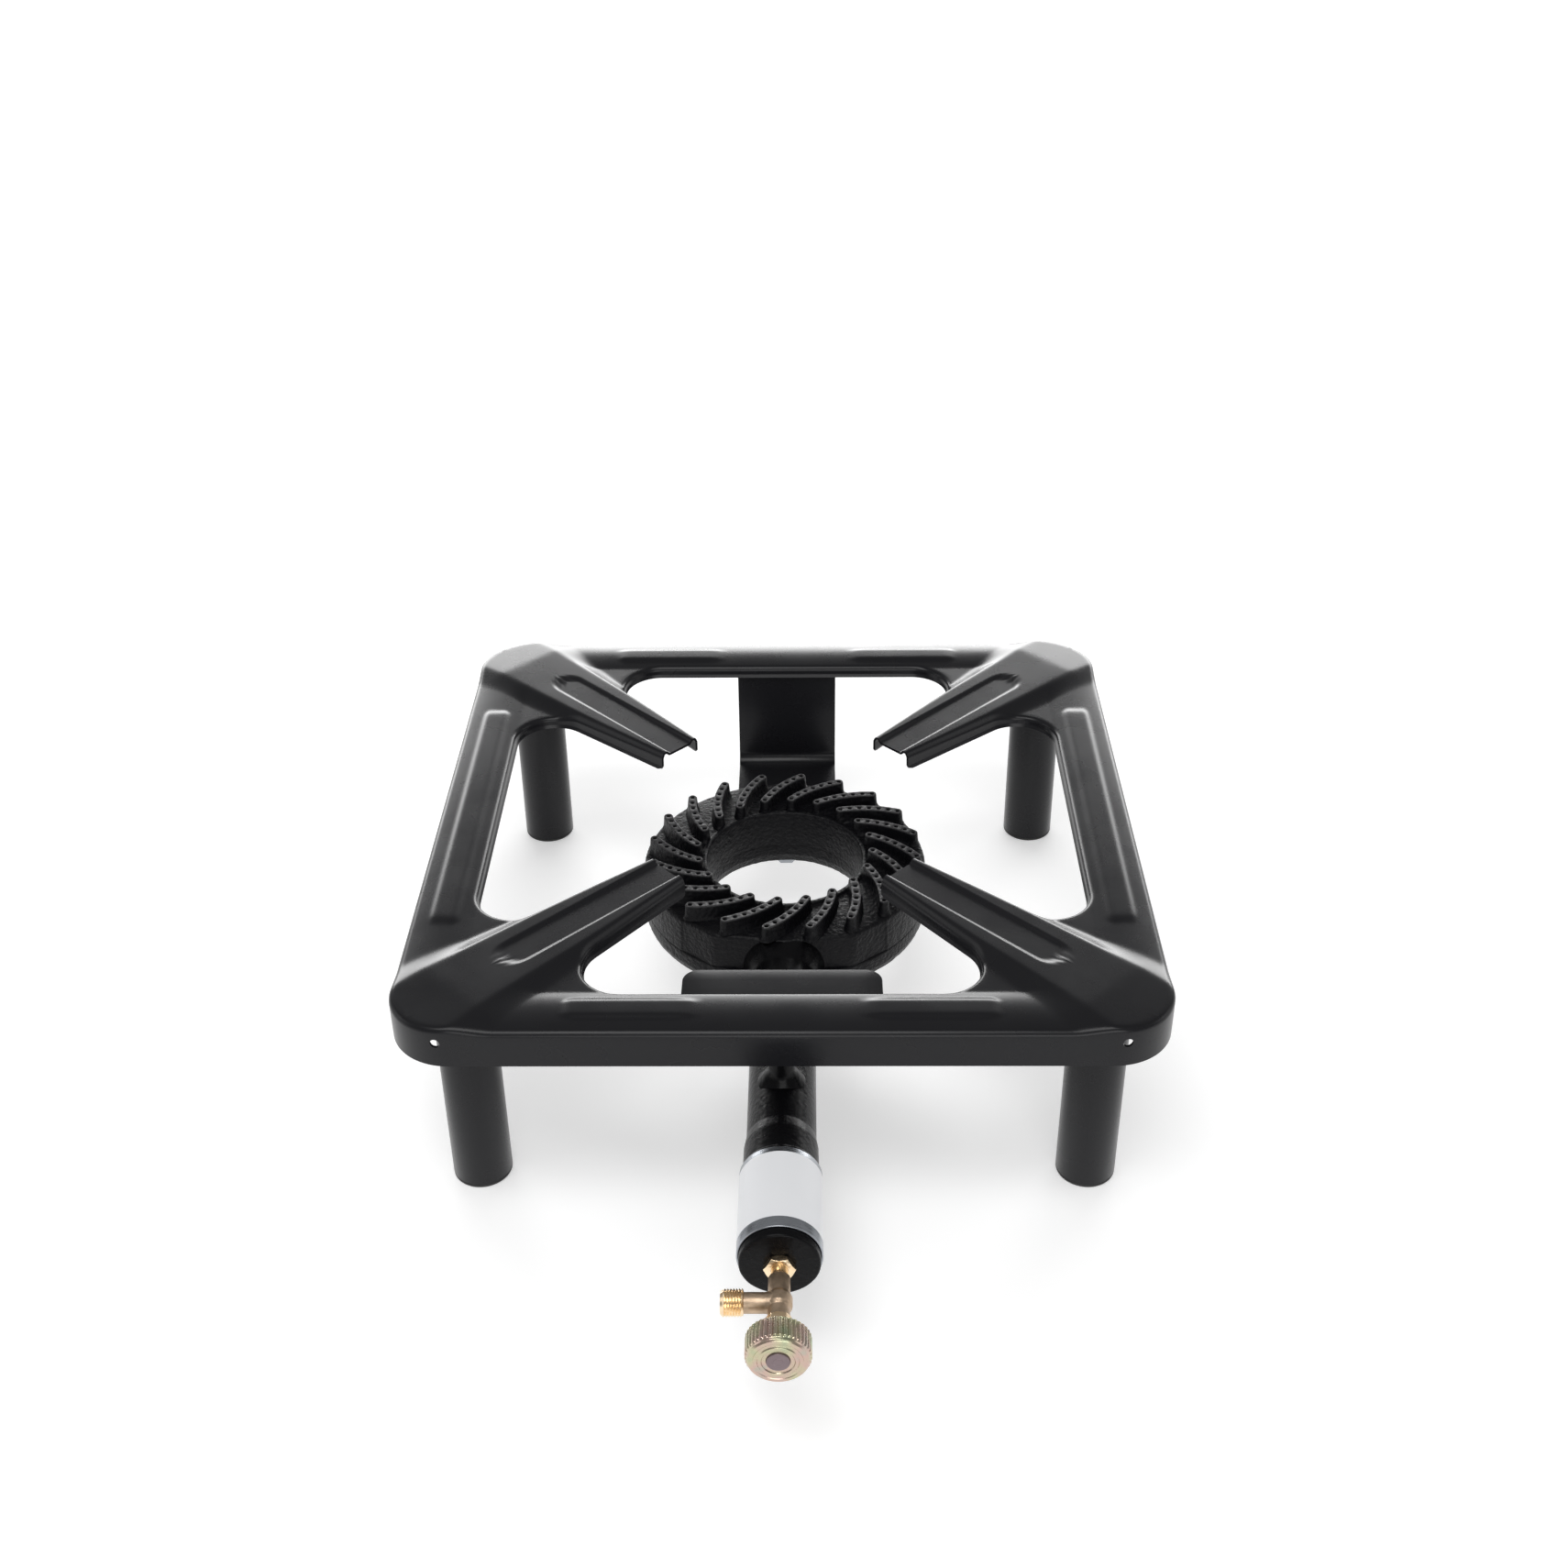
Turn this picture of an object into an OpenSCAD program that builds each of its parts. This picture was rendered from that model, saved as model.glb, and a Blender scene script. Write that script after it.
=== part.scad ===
// Low gas burner stand: a pressed steel top frame on four tube legs carries a cast ring
// burner with its mixing tube, air sleeve, needle valve and control knob.
// +Z is up, the knob end points to -Y, and the origin is on the floor under the middle
// of the whole stand.

/* [Top frame] */
// Outer side of the square pressed frame
frame_size = 400; // [370:1:460]
// Outer corner radius in plan
corner_r = 33; // [24:1:45]
// Width of a rail, outer side to window lip
rail_w = 34; // [31:1:40]
// Steel sheet thickness
sheet_t = 1.5; // [1:0.1:2]
// Height of the rail's outer edge above the floor
edge_z = 125; // [115:1:180]
// Depth of the outer skirt below that edge
skirt_h = 20.8; // [16:0.1:26]
// Radius of the folded outer edge
shoulder_r = 3; // [2.4:0.1:4]
// Rise of the rail's crown above its outer edge
crown_h = 1.9; // [0.5:0.1:3]
// Height of the window lip below the rail's outer edge
lip_drop = 6.5; // [5:0.1:9]
// Fillet radius in the window corners
window_r = 22; // [14:1:26]
// Diameter of the two holes in the front skirt
skirt_hole_d = 5; // [3:0.1:7]
// Distance of a skirt hole from the frame's side
skirt_hole_in = 27.5; // [22:0.5:40]

/* [Stiffening beads] */
// Height of the bead's flat above the rail's outer edge
bead_h = 2.9; // [2.2:0.1:4]
// Width of the bead's flat
bead_w = 10.5; // [6:0.5:12]
// Distance of the bead's centre line from the outer side
bead_in = 18.25; // [17:0.25:19]
// Distance of a bead's outer end from the frame's side
bead_end_in = 88; // [80:1:110]
// Half of the plain gap in the middle of the front and rear rails
bead_gap = 40; // [30:1:60]

/* [Pan arms] */
// Distance of an arm's free tip from the middle
arm_tip_r = 90.85; // [80:0.5:110]
// Half width of an arm's tip over its lips
arm_tip_half = 15.5; // [14:0.5:20]
// Growth of that half width for each millimetre along the arm
arm_taper = 0.1; // [0.06:0.01:0.12]
// Height of the arm's top above the rail's outer edge
arm_h = 4.8; // [4:0.1:8]
// Half width of the pressed groove at the tip and at its outer end
groove_half = 9; // [6:0.5:10]
// Depth of the groove at the tip
groove_depth = 2.2; // [0.8:0.1:2.6]
// Distance of the groove's outer end from the frame's corner
groove_end_in = 64.2; // [61:0.1:80]

/* [Legs] */
// Outer diameter of the leg tube
leg_d = 31.8; // [25:0.1:38]
// Wall of the leg tube
leg_wall = 1.5; // [1:0.1:3]
// Distance of a leg's axis from each outer side
leg_inset = 36; // [34:0.5:40]
// Height of the rim of the end cap in the leg's foot
cap_rim = 2.2; // [1.5:0.1:5]
// Length of the cap's plug inside the tube
cap_plug = 12; // [6:1:20]

/* [Burner] */
// Distance of the burner's centre behind the middle of the frame
burner_y = 3; // [-5:0.5:8]
// Outer diameter of the burner
burner_d = 168; // [150:1:174]
// Diameter of the centre hole
burner_hole_d = 92; // [80:1:98]
// Height of the underside of the burner above the floor
burner_z = 53; // [52:0.5:58]
// Height of the lower casting
base_h = 13; // [11:0.5:16]
// Height of the upper casting without its ridges
head_h = 22.5; // [20:0.5:26]
// Wall thickness of both castings
cast_wall = 5; // [4:0.1:6]
// Thickness of the plate that carries the ridges
port_plate_t = 6; // [4:0.5:8]
// Number of curved ridges
ridge_count = 20; // [12:1:20]
// Height of a ridge above the plate
ridge_h = 8.5; // [4:0.5:10]
// Width of a ridge
ridge_w = 5.3; // [4.6:0.1:6]
// Distance of a ridge's inner end hole from the burner's axis
ridge_in_r = 52; // [50:0.5:56]
// Distance of a ridge's outer end hole from the burner's axis
ridge_out_r = 78; // [70:0.5:78.5]
// Angle by which a ridge turns from its inner to its outer end
ridge_turn = 21; // [10:0.5:24]
// Radius of a ridge's own curve in plan
ridge_curve_r = 64; // [50:1:120]
// Number of gas ports in a ridge
port_count = 7; // [4:1:7]
// Diameter of a gas port
port_d = 2.6; // [1.5:0.1:3]
// Turn of the whole ridge pattern about the axis
ridge_phase = 14; // [0:0.5:17]

/* [Mixing tube] */
// Distance of the tube's closed end in front of the frame
tube_overhang = 97.5; // [90:0.5:120]
// Height of the tube's axis above the floor
tube_z = 67; // [66:0.5:69]
// Outer diameter of the tube's plain neck
tube_d = 35.2; // [32:0.1:37]
// Outer diameter of the two lands that the air sleeve turns on
land_d = 39.4; // [38.6:0.1:42]
// Bore of the tube
tube_bore_d = 27; // [22:0.5:28]
// Thickness of the closed end wall
tube_end_t = 5; // [4:0.5:8]
// Distance of the fixing boss behind the frame's front side
boss_in = 15; // [12:0.5:30]
// Diameter of the fixing boss
boss_d = 13.6; // [11:0.1:16]

/* [Air sleeve] */
// Length of the sleeve
sleeve_l = 53; // [45:1:60]
// Sheet thickness of the sleeve
sleeve_t = 0.9; // [0.6:0.1:1.2]
// Distance of the sleeve's front edge behind the tube's end
sleeve_back = 5; // [4:0.5:8]
// Radial clearance of the sleeve on its lands
sleeve_clear = 0.06; // [0.03:0.01:0.1]
// Angle of each air window
window_angle = 46; // [30:1:50]
// Length of each air window
window_l = 26; // [16:1:30]
// Angle between the two air windows
window_pitch = 100; // [90:1:110]

/* [Brackets] */
// Width of the rear strap
strap_w = 64; // [50:1:76]
// Thickness of the strap and of the front plate's sheet
strap_t = 2.5; // [2:0.1:4]
// Inner radius of the strap's bend
strap_bend_r = 7.5; // [4:0.5:10]
// Width of the front plate
plate_w = 106; // [90:1:120]
// Thickness of the front plate
plate_t = 2; // [1.5:0.1:3]
// Depth of the front plate behind the skirt
plate_depth = 73.5; // [60:0.5:80]
// Radius of the front plate's inner corners
plate_r = 9; // [4:0.5:14]
// Thread diameter of the boss and base screws
screw_d = 6; // [5:0.5:6]
// Thread diameter of the strap bolt
bolt_d = 8; // [6:0.5:8]

/* [Gas valve] */
// Outside diameter of the inlet thread, G 1/4 left-hand
inlet_thread_d = 13.16; // [12:0.01:14]
// Length of the inlet thread
inlet_thread_l = 10.8; // [9:0.1:14]
// Distance of the inlet's open end from the valve's axis
inlet_reach = 27; // [24:0.5:34]
// Diameter of the inlet's plain neck
inlet_neck_d = 9.8; // [9:0.1:10]
// Bore of the inlet
inlet_bore_d = 6; // [4:0.1:7]
// Distance of the inlet's axis in front of the tube's end
inlet_front = 23; // [20:0.5:25]
// Diameter of the valve's barrel
barrel_d = 10.4; // [10:0.1:13]
// Diameter of the valve's outlet nose
nose_d = 8.2; // [7:0.1:9]
// Width across flats of the hex bushing
bushing_af = 13.6; // [13:0.1:17]
// Thickness of the bushing's hexagon
bushing_hex_t = 3.8; // [3:0.1:6]
// Diameter of the spindle
spindle_d = 4; // [3:0.1:4.5]

/* [Knob] */
// Outer diameter of the fluted rim
knob_d = 30.5; // [26:0.5:36]
// Depth of the knob
knob_l = 13.6; // [12:0.1:18]
// Length of the fluted band
flute_l = 9; // [6:0.5:10]
// Number of flutes
flute_count = 40; // [24:1:44]
// Diameter of one flute
flute_d = 1.5; // [1:0.1:1.7]
// Distance of the knob's face in front of the tube's end
knob_front = 57.5; // [56:0.5:64]
// Diameter of the centre cap
knob_cap_d = 10.8; // [10:0.2:12]

/* [Hidden] */
$fn = 48;

// Colours
sheet_black = [0.1, 0.1, 0.11];
cast_black = [0.13, 0.13, 0.14];
plastic_black = [0.05, 0.05, 0.05];
zinc_grey = [0.62, 0.63, 0.65];
brass = [0.72, 0.55, 0.3];
passivated = [0.6, 0.62, 0.42];
ptfe_white = [0.92, 0.92, 0.9];
cap_red = [0.42, 0.36, 0.38];

// Small common clearances
seat_gap = 0.3;
slide_gap = 0.05;
hole_gap = 0.3;

half = frame_size / 2;
tube_end_y = -half - tube_overhang;
tube_reach = burner_y - tube_end_y;
knob_face_y = tube_end_y - knob_front;
knob_cap_proud = 0.4;
front_y = knob_face_y - knob_cap_proud;
// The origin lies in the middle of the stand's whole length
shift_y = -(half + front_y) / 2;

module placed() {
    translate([0, shift_y, 0]) children();
}

// A cylinder along +Y that starts at y
module rod(d, l, y = 0, fn = 48) {
    translate([0, y, 0]) rotate([-90, 0, 0]) cylinder(d = d, h = l, $fn = fn);
}

// ---------------------------------------------------------------- pressed frame
// One eighth of the frame is described by (a, b): a is the distance from the middle
// towards a rail, b runs along the rail, and the diagonal a = b is the arm's axis.
// s runs along the diagonal and t across it.
r2 = sqrt(2);
function s_of(p) = (p[0] + p[1]) / r2;
function t_of(p) = (p[0] - p[1]) / r2;
function diagonal(s) = [s / r2, s / r2];
function clamp01(x) = min(1, max(0, x));
function ease(x) = let (u = clamp01(x)) u * u * (3 - 2 * u);
function mix(p, q, f) = p + (q - p) * f;

lip_a = half - rail_w;
rail_mid = half - rail_w / 2;
crown_reach = rail_w / 2 - 1;
plateau_z = edge_z + arm_h;
lip_z = edge_z - lip_drop;
skirt_z = edge_z - skirt_h;
corner_s = (half - corner_r) * r2 + corner_r;
skirt_hole_x = half - skirt_hole_in;
skirt_hole_drop = 6.3;
bead_reach = half - bead_end_in;
groove_end = corner_s - groove_end_in;

// Pads slope down outwards from the crease that the leg's outer side lies behind
leg_s = (half - leg_inset) * r2;
crease_s = leg_s + 6;
pad_slope = 0.09;

// Edge of the flat top of an arm, and the foot of its flank on the rails
plateau_tip_half = arm_tip_half - 2.7;
plateau_slope = arm_taper * 0.75;
flank_in_s = corner_s - 98.2;
flank_out_s = corner_s - 23;
function plateau_half(s) = plateau_tip_half + plateau_slope * (min(s, flank_in_s) - arm_tip_r)
    + 0.05 * max(0, s - flank_in_s);
flank_w_in = 8;
flank_w_out = 15;
function flank_foot(s) = plateau_half(s)
    + mix(flank_w_in, flank_w_out, clamp01((s - flank_in_s) / (flank_out_s - flank_in_s)));

function plateau(s) = plateau_z - pad_slope * max(0, s - crease_s);
function crown(a) = edge_z + crown_h * (1 - pow(min(1, abs(a - rail_mid) / crown_reach), 2));

bead_slope = 0.45;
bead_end_slope = 0.4;
bead_a = half - bead_in;
function bead(a, b, gapped) = edge_z + bead_h
    - bead_slope * max(0, abs(a - bead_a) - bead_w / 2)
    - bead_end_slope * max(0, b - bead_reach + 4)
    - (gapped ? bead_end_slope * max(0, bead_gap + 6 - b) : 0);

// The groove is a slot that is open at the tip and round at its outer end
groove_edge = 2.6;
groove_centre_s = groove_end - groove_half;
function groove_q(s, t) = s < groove_centre_s ? abs(t)
    : norm([t, s - groove_centre_s]);
function groove_d(s) = groove_depth * (1 - 0.45 * clamp01((s - arm_tip_r) / (groove_end - arm_tip_r)));
function groove(s, t) = groove_d(s) * ease((groove_half - groove_q(s, t)) / groove_edge + 0.5);

// Height of the sheet's upper side, without its folded edges
function top_z(p, gapped) =
    let (s = s_of(p), t = abs(t_of(p)))
    let (low = max(crown(p[0]), bead(p[0], p[1], gapped)))
    let (foot = flank_foot(s))
    let (u = ease((foot - t) / (foot - plateau_half(s))))
    low + (plateau(s) - low) * u - groove(s, t);

// Distance from the outer outline, and the drop of the folded edge there
function edge_in(p) = (p[0] > half - corner_r && p[1] > half - corner_r)
    ? corner_r - norm(p - [half - corner_r, half - corner_r])
    : half - p[0];
function edge_drop(e) = e >= shoulder_r ? 0
    : shoulder_r - sqrt(pow(shoulder_r, 2) - pow(shoulder_r - max(0, e), 2));

// Window outline: rail lip, fillet about fillet_c, then the arm's lip to the tip
taper_n = sqrt(1 + arm_taper * arm_taper);
fillet_a = lip_a - window_r;
fillet_b = (fillet_a * (1 - arm_taper) / r2 - arm_tip_half + arm_taper * arm_tip_r
    - window_r * taper_n) * r2 / (1 + arm_taper);
fillet_c = [fillet_a, fillet_b];
fillet_end = atan2(1 + arm_taper, arm_taper - 1);
function on_fillet(phi) = fillet_c + window_r * [cos(phi), sin(phi)];
function ray_angle(p) = atan2(p[1] - fillet_b, p[0] - fillet_a);
function st_point(s, t) = [(s + t) / r2, (s - t) / r2];
function arm_lip(s) = st_point(s, arm_tip_half + arm_taper * (s - arm_tip_r));

// Stations run from the rail's plain middle round the fillet to the arm's tip.
// Each one is [window point, opposite point]; the opposite point lies on the outer
// outline up to station corner_j and on the diagonal after it.
straight_b = half - corner_r;
function outline(b) = [half, b];
function corner_arc(w) = [straight_b, straight_b] + corner_r * [cos(w), sin(w)];
// A rail's stations fan out a little, so that their points don't share one plane.
station_fan = 1.02;
rail_bs = [bead_gap - 2, bead_gap + 6, fillet_b];
fan_bs = [fillet_b + 15, fillet_b + 28, bead_reach + 10, bead_reach + 18];
fan_out = concat(
    [for (b = fan_bs) outline(b)],
    [for (i = [1:4]) outline(mix(bead_reach + 18, straight_b, i / 4))],
    [corner_arc(22.5), corner_arc(45)]);
arm_start = let (d = [cos(fillet_end), sin(fillet_end)])
    s_of(fillet_c + d * (fillet_a - fillet_b) / (d[1] - d[0]));
fan_diagonal = [
    corner_s - 0.3 * shoulder_r, corner_s - shoulder_r, corner_s - 14, crease_s,
    mix(crease_s, groove_end, 0.5), groove_end, groove_centre_s,
    mix(groove_centre_s, arm_start, 0.33), mix(groove_centre_s, arm_start, 0.66)];
stations = concat(
    [for (b = rail_bs) [[lip_a, b], outline(b * station_fan)]],
    [for (p = fan_out) [on_fillet(ray_angle(p)), p]],
    [for (s = fan_diagonal) [on_fillet(ray_angle(diagonal(s))), diagonal(s)]],
    [[on_fillet(fillet_end), diagonal(arm_start)]],
    [for (s = [mix(arm_tip_r, arm_start, 0.5), arm_tip_r]) [arm_lip(s), diagonal(s)]]);
station_n = len(stations);
corner_j = len(rail_bs) + len(fan_out) - 1;

// Rows of the upper side: window edge, wall, top radius, then the open surface
wall_in = 1;
radius_1 = 1.6;
radius_2 = 3.2;
rail_len = rail_w - radius_2;
bead_row = rail_w - bead_in - bead_w / 2 - radius_2;
rail_rows = [
    bead_row - 4.5, bead_row, bead_row + bead_w / 2, bead_row + bead_w,
    bead_row + bead_w + 4.5, rail_len - shoulder_r, rail_len - 0.3 * shoulder_r, rail_len
] / rail_len;
arm_rows_t = [groove_half + groove_edge / 2, groove_half - groove_edge / 2, groove_half / 2, 0];
// Share of the way from row radius_2 to the opposite point for surface row k
function arm_row(k, len_t) = let (g = clamp01(1 - arm_rows_t[0] / len_t))
    k < 4 ? g * (k + 1) / 5 : (k == 4 ? g : 1 - arm_rows_t[k - 4] / len_t);
function open_row(k, j, free) =
    let (w = ease((j - corner_j + 1) / 5))
    mix(rail_rows[k], arm_row(k, free), w);
function plan_at(j, d) = let (st = stations[j], l = norm(st[1] - st[0]))
    mix(st[0], st[1], d / l);
function free_len(j) = norm(stations[j][1] - stations[j][0]) - radius_2;
open_n = 8;

function surface_z(p, gapped) = top_z(p, gapped) - edge_drop(edge_in(p));
function with_z(p, z) = [p[0], p[1], z];
function upper_point(j, i, g) =
    i == 0 ? with_z(plan_at(j, 0), lip_z + 1.2)
    : i == 1 ? with_z(plan_at(j, wall_in), lip_z + 2.6)
    : i == 2 ? let (p = plan_at(j, wall_in)) with_z(p, top_z(p, g) - 2.6)
    : i == 3 ? let (p = plan_at(j, radius_1)) with_z(p, top_z(p, g) - 1)
    : i == 4 ? let (p = plan_at(j, radius_2)) with_z(p, top_z(p, g) - 0.2)
    : i == 5 + open_n ? with_z(stations[j][1], skirt_z)
    : let (f = open_row(i - 5, j, free_len(j)), p = plan_at(j, radius_2 + f * free_len(j)))
        with_z(p, surface_z(p, g));
upper_n = 5 + open_n;

// Rows of the underside, one sheet thickness in from the upper side
under_rows = [0, 2, 4, 6, 8, 10, 12];
under_n = len(under_rows);
function inward(p, q, d) = p + (q - p) * d / norm(q - p);
function under_outer(j, g, z_skirt) =
    let (p = j <= corner_j ? inward(stations[j][1], corner_in(stations[j][1]), sheet_t)
        : diagonal(min(s_of(stations[j][1]), corner_s - sheet_t)))
    with_z(p, z_skirt ? skirt_z
        : j <= corner_j ? top_z(p, g) - shoulder_r - 0.3
        : surface_z(p, g) - sheet_t * 1.1);
function corner_in(p) = p[1] > straight_b ? [straight_b, straight_b] : [p[0] - 1, p[1]];
function under_point(j, k, g) =
    k == 0 ? with_z(plan_at(j, 0.7), lip_z)
    : k == 1 ? let (p = plan_at(j, wall_in + sheet_t)) with_z(p, lip_z + 1.8)
    : k == 2 ? let (p = plan_at(j, wall_in + sheet_t)) with_z(p, top_z(p, g) - sheet_t - 1.2)
    : k == under_n - 1 ? under_outer(j, g, false)
    : k == under_n ? under_outer(j, g, true)
    : let (f = open_row(2 * k - 5, j, free_len(j)))
        let (p = plan_at(j, radius_2 + f * free_len(j)))
        with_z(p, surface_z(p, g) - sheet_t * 1.03);

// Point numbers: each octant holds all upper rows, then all under rows.
row_n = upper_n + 1 + under_n + 1;
octant_n = station_n * row_n;
function turned(p, o) =
    let (q = floor(o / 2), b = (o % 2 == 0 ? 1 : -1) * p[1], a = p[0])
    q == 0 ? [a, b, p[2]] : q == 1 ? [-b, a, p[2]] : q == 2 ? [-a, -b, p[2]] : [b, -a, p[2]];
function row_point(j, r, g) = r <= upper_n ? upper_point(j, r, g) : under_point(j, r - upper_n - 1, g);
// Points on a shared edge belong to the even octant beside them
function on_diagonal(j, r) = j >= corner_j && (r >= upper_n - 1 && r <= upper_n
    || r >= upper_n + under_n);
function point_id(o, j, r) =
    let (owner = o % 2 == 1 && on_diagonal(j, r) ? (o + 5) % 8 : o)
    owner * octant_n + j * row_n + r;

function quad(o, j, r0, r1) = let (
        p = point_id(o, j, r0), q = point_id(o, j + 1, r0),
        u = point_id(o, j + 1, r1), v = point_id(o, j, r1))
    o % 2 == 0 ? [[p, q, u], [p, u, v]] : [[q, p, u], [u, p, v]];
// Face across a rail's plain middle, from the odd octant to the even one
function middle_quad(o, r0, r1) = let (
        p = point_id(o + 1, 0, r0), q = point_id(o, 0, r0),
        u = point_id(o, 0, r1), v = point_id(o + 1, 0, r1))
    [[p, q, u], [p, u, v]];
first_under = upper_n + 1;
last_under = first_under + under_n - 1;
function strip_rows(j) = concat(
    [for (r = [0:upper_n - 2]) [r, r + 1]],
    j < corner_j ? [[upper_n - 1, upper_n], [upper_n, last_under + 1], [last_under + 1, last_under]] : [],
    [for (r = [last_under:-1:first_under + 1]) [r, r - 1]],
    [[first_under, 0]]);
tip_rows = concat([for (r = [0:upper_n - 1]) r], [for (r = [last_under:-1:first_under]) r]);
function tip_face(o) = let (f = [for (r = tip_rows) point_id(o, station_n - 1, r)])
    o % 2 == 0 ? f : [for (i = [len(f) - 1:-1:0]) f[i]];

module pressed_sheet() {
    points = [for (o = [0:7], j = [0:station_n - 1], r = [0:row_n - 1])
        turned(row_point(j, r, floor(o / 2) % 2 == 1), o)];
    faces = concat(
        [for (o = [0:7], j = [0:station_n - 2], e = strip_rows(j)) each quad(o, j, e[0], e[1])],
        [for (o = [0:2:6], e = strip_rows(0)) each middle_quad(o, e[0], e[1])],
        [for (o = [0:7]) tip_face(o)]);
    polyhedron(points = points, faces = faces, convexity = 8);
}

module top_frame() {
    color(sheet_black) placed() difference() {
        pressed_sheet();
        for (x = [-skirt_hole_x, skirt_hole_x])
            translate([x, 0, edge_z - skirt_hole_drop]) rod(skirt_hole_d, 3 * sheet_t, -half - sheet_t);
    }
}

// ---------------------------------------------------------------- legs
leg_top_z = plateau_z - pad_slope * (leg_s + leg_d / 2 - crease_s) - sheet_t * 1.1 - seat_gap;

module leg(sx, sy) {
    color(sheet_black) placed()
        translate([sx * (half - leg_inset), sy * (half - leg_inset), cap_rim])
            difference() {
                cylinder(d = leg_d, h = leg_top_z - cap_rim, $fn = 64);
                translate([0, 0, -1])
                    cylinder(d = leg_d - 2 * leg_wall, h = leg_top_z - cap_rim + 2, $fn = 64);
            }
}

module leg_caps() {
    edge = 1.2;
    plug_r = leg_d / 2 - leg_wall - slide_gap;
    color(plastic_black) placed()
        for (sx = [-1, 1], sy = [-1, 1])
            translate([sx * (half - leg_inset), sy * (half - leg_inset), 0])
                rotate_extrude($fn = 64) difference() {
                    polygon([
                        [0, 0], [leg_d / 2 - edge, 0], [leg_d / 2 - edge * 0.3, edge * 0.3],
                        [leg_d / 2, edge], [leg_d / 2, cap_rim], [plug_r, cap_rim],
                        [plug_r, cap_rim + cap_plug], [0, cap_rim + cap_plug]]);
                    translate([-1, cap_rim]) square([plug_r - 1, cap_plug + 1]);
                }
}

// ---------------------------------------------------------------- burner castings
burner_r = burner_d / 2;
hole_r = burner_hole_d / 2;
split_z = burner_z + base_h;
head_top_z = split_z + head_h;
floor_t = 4;
// The front of the head is cut flat on both sides of the tube
facet_front = burner_r - 3.5;
facet_mid = [40, burner_r - 9.8];
facet_side = [58, burner_r - 24];
// Posts and screws stand in the middle of the channel
post_r = (hole_r + burner_r) / 2;
post_d = 13;
post_angles = [45, 135, 225, 315];
rim_w = 3;
rim_h = 1.6;

module at_burner() {
    placed() translate([0, burner_y, 0]) children();
}

// Plan of the head, drawn in by an inset on its outer side only
module head_outline(inset) {
    intersection() {
        circle(r = burner_r - inset, $fn = 96);
        polygon([
            [0, inset - facet_front], [facet_mid[0], inset - facet_mid[1]],
            [facet_side[0], inset - facet_side[1]], [burner_r, inset - facet_side[1] + 8],
            [burner_r, burner_r], [-burner_r, burner_r],
            [-burner_r, inset - facet_side[1] + 8], [-facet_side[0], inset - facet_side[1]],
            [-facet_mid[0], inset - facet_mid[1]]]);
    }
}

// Ridges: each follows an arc between its inner and outer end holes
ridge_a = [ridge_in_r, 0];
ridge_b = ridge_out_r * [cos(ridge_turn), -sin(ridge_turn)];
ridge_chord = norm(ridge_b - ridge_a);
ridge_dir = (ridge_b - ridge_a) / ridge_chord;
ridge_centre = (ridge_a + ridge_b) / 2
    + [ridge_dir[1], -ridge_dir[0]] * sqrt(pow(ridge_curve_r, 2) - pow(ridge_chord / 2, 2));
ridge_w0 = atan2((ridge_a - ridge_centre)[1], (ridge_a - ridge_centre)[0]);
ridge_w1 = atan2((ridge_b - ridge_centre)[1], (ridge_b - ridge_centre)[0]);
function ridge_point(f, side = 0) = let (w = mix(ridge_w0, ridge_w1, f))
    ridge_centre + (ridge_curve_r + side) * [cos(w), sin(w)];
ridge_steps = 8;

module ridge_plan() {
    polygon(concat(
        [for (i = [0:ridge_steps]) ridge_point(i / ridge_steps, ridge_w / 2)],
        [for (i = [ridge_steps:-1:0]) ridge_point(i / ridge_steps, -ridge_w / 2)]));
    for (f = [0, 1]) translate(ridge_point(f)) circle(d = ridge_w, $fn = 24);
}

module ports_plan() {
    for (k = [0:ridge_count - 1])
        rotate(ridge_phase + k * 360 / ridge_count)
            for (i = [0:port_count - 1])
                translate(ridge_point(i / (port_count - 1))) circle(d = port_d, $fn = 16);
}

module ridges_plan() {
    for (k = [0:ridge_count - 1])
        rotate(ridge_phase + k * 360 / ridge_count) ridge_plan();
}

// Tube outside: neck at the ring, plain tube, step up to the rear land
land_l = 6;
sleeve_rear = sleeve_back + sleeve_l;
step_y = tube_end_y + sleeve_rear + 22;
boss_y = -half + boss_in;
plate_z = skirt_z;
tube_under_land_d = land_d - 1.4;
end_chamfer = 1.6;
tube_in_y = -facet_front + 2;

module tube_body() {
    // radius against distance from the closed end, turned about the tube's axis
    l = burner_y + tube_in_y - tube_end_y;
    translate([0, tube_end_y - burner_y, tube_z]) rotate([-90, 0, 0]) rotate_extrude($fn = 64)
        polygon([
            [0, 0], [land_d / 2 - end_chamfer, 0], [land_d / 2, end_chamfer],
            [land_d / 2, sleeve_back + land_l], [tube_under_land_d / 2, sleeve_back + land_l + 1],
            [tube_under_land_d / 2, sleeve_rear - land_l - 1],
            [land_d / 2, sleeve_rear - land_l], [land_d / 2, sleeve_rear + 1],
            [land_d / 2 - 0.6, sleeve_rear + 2], [land_d / 2 - 0.8, sleeve_rear + 18],
            [tube_d / 2, sleeve_rear + 25], [tube_d / 2, l - 20],
            [tube_d / 2 + 1, l], [0, l]]);
}

module boss_body() {
    translate([0, boss_y - burner_y, tube_z]) {
        cylinder(d = boss_d, h = plate_z - tube_z);
        cylinder(d1 = boss_d + 8, d2 = boss_d, h = tube_d / 2 + 3);
    }
}

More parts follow.
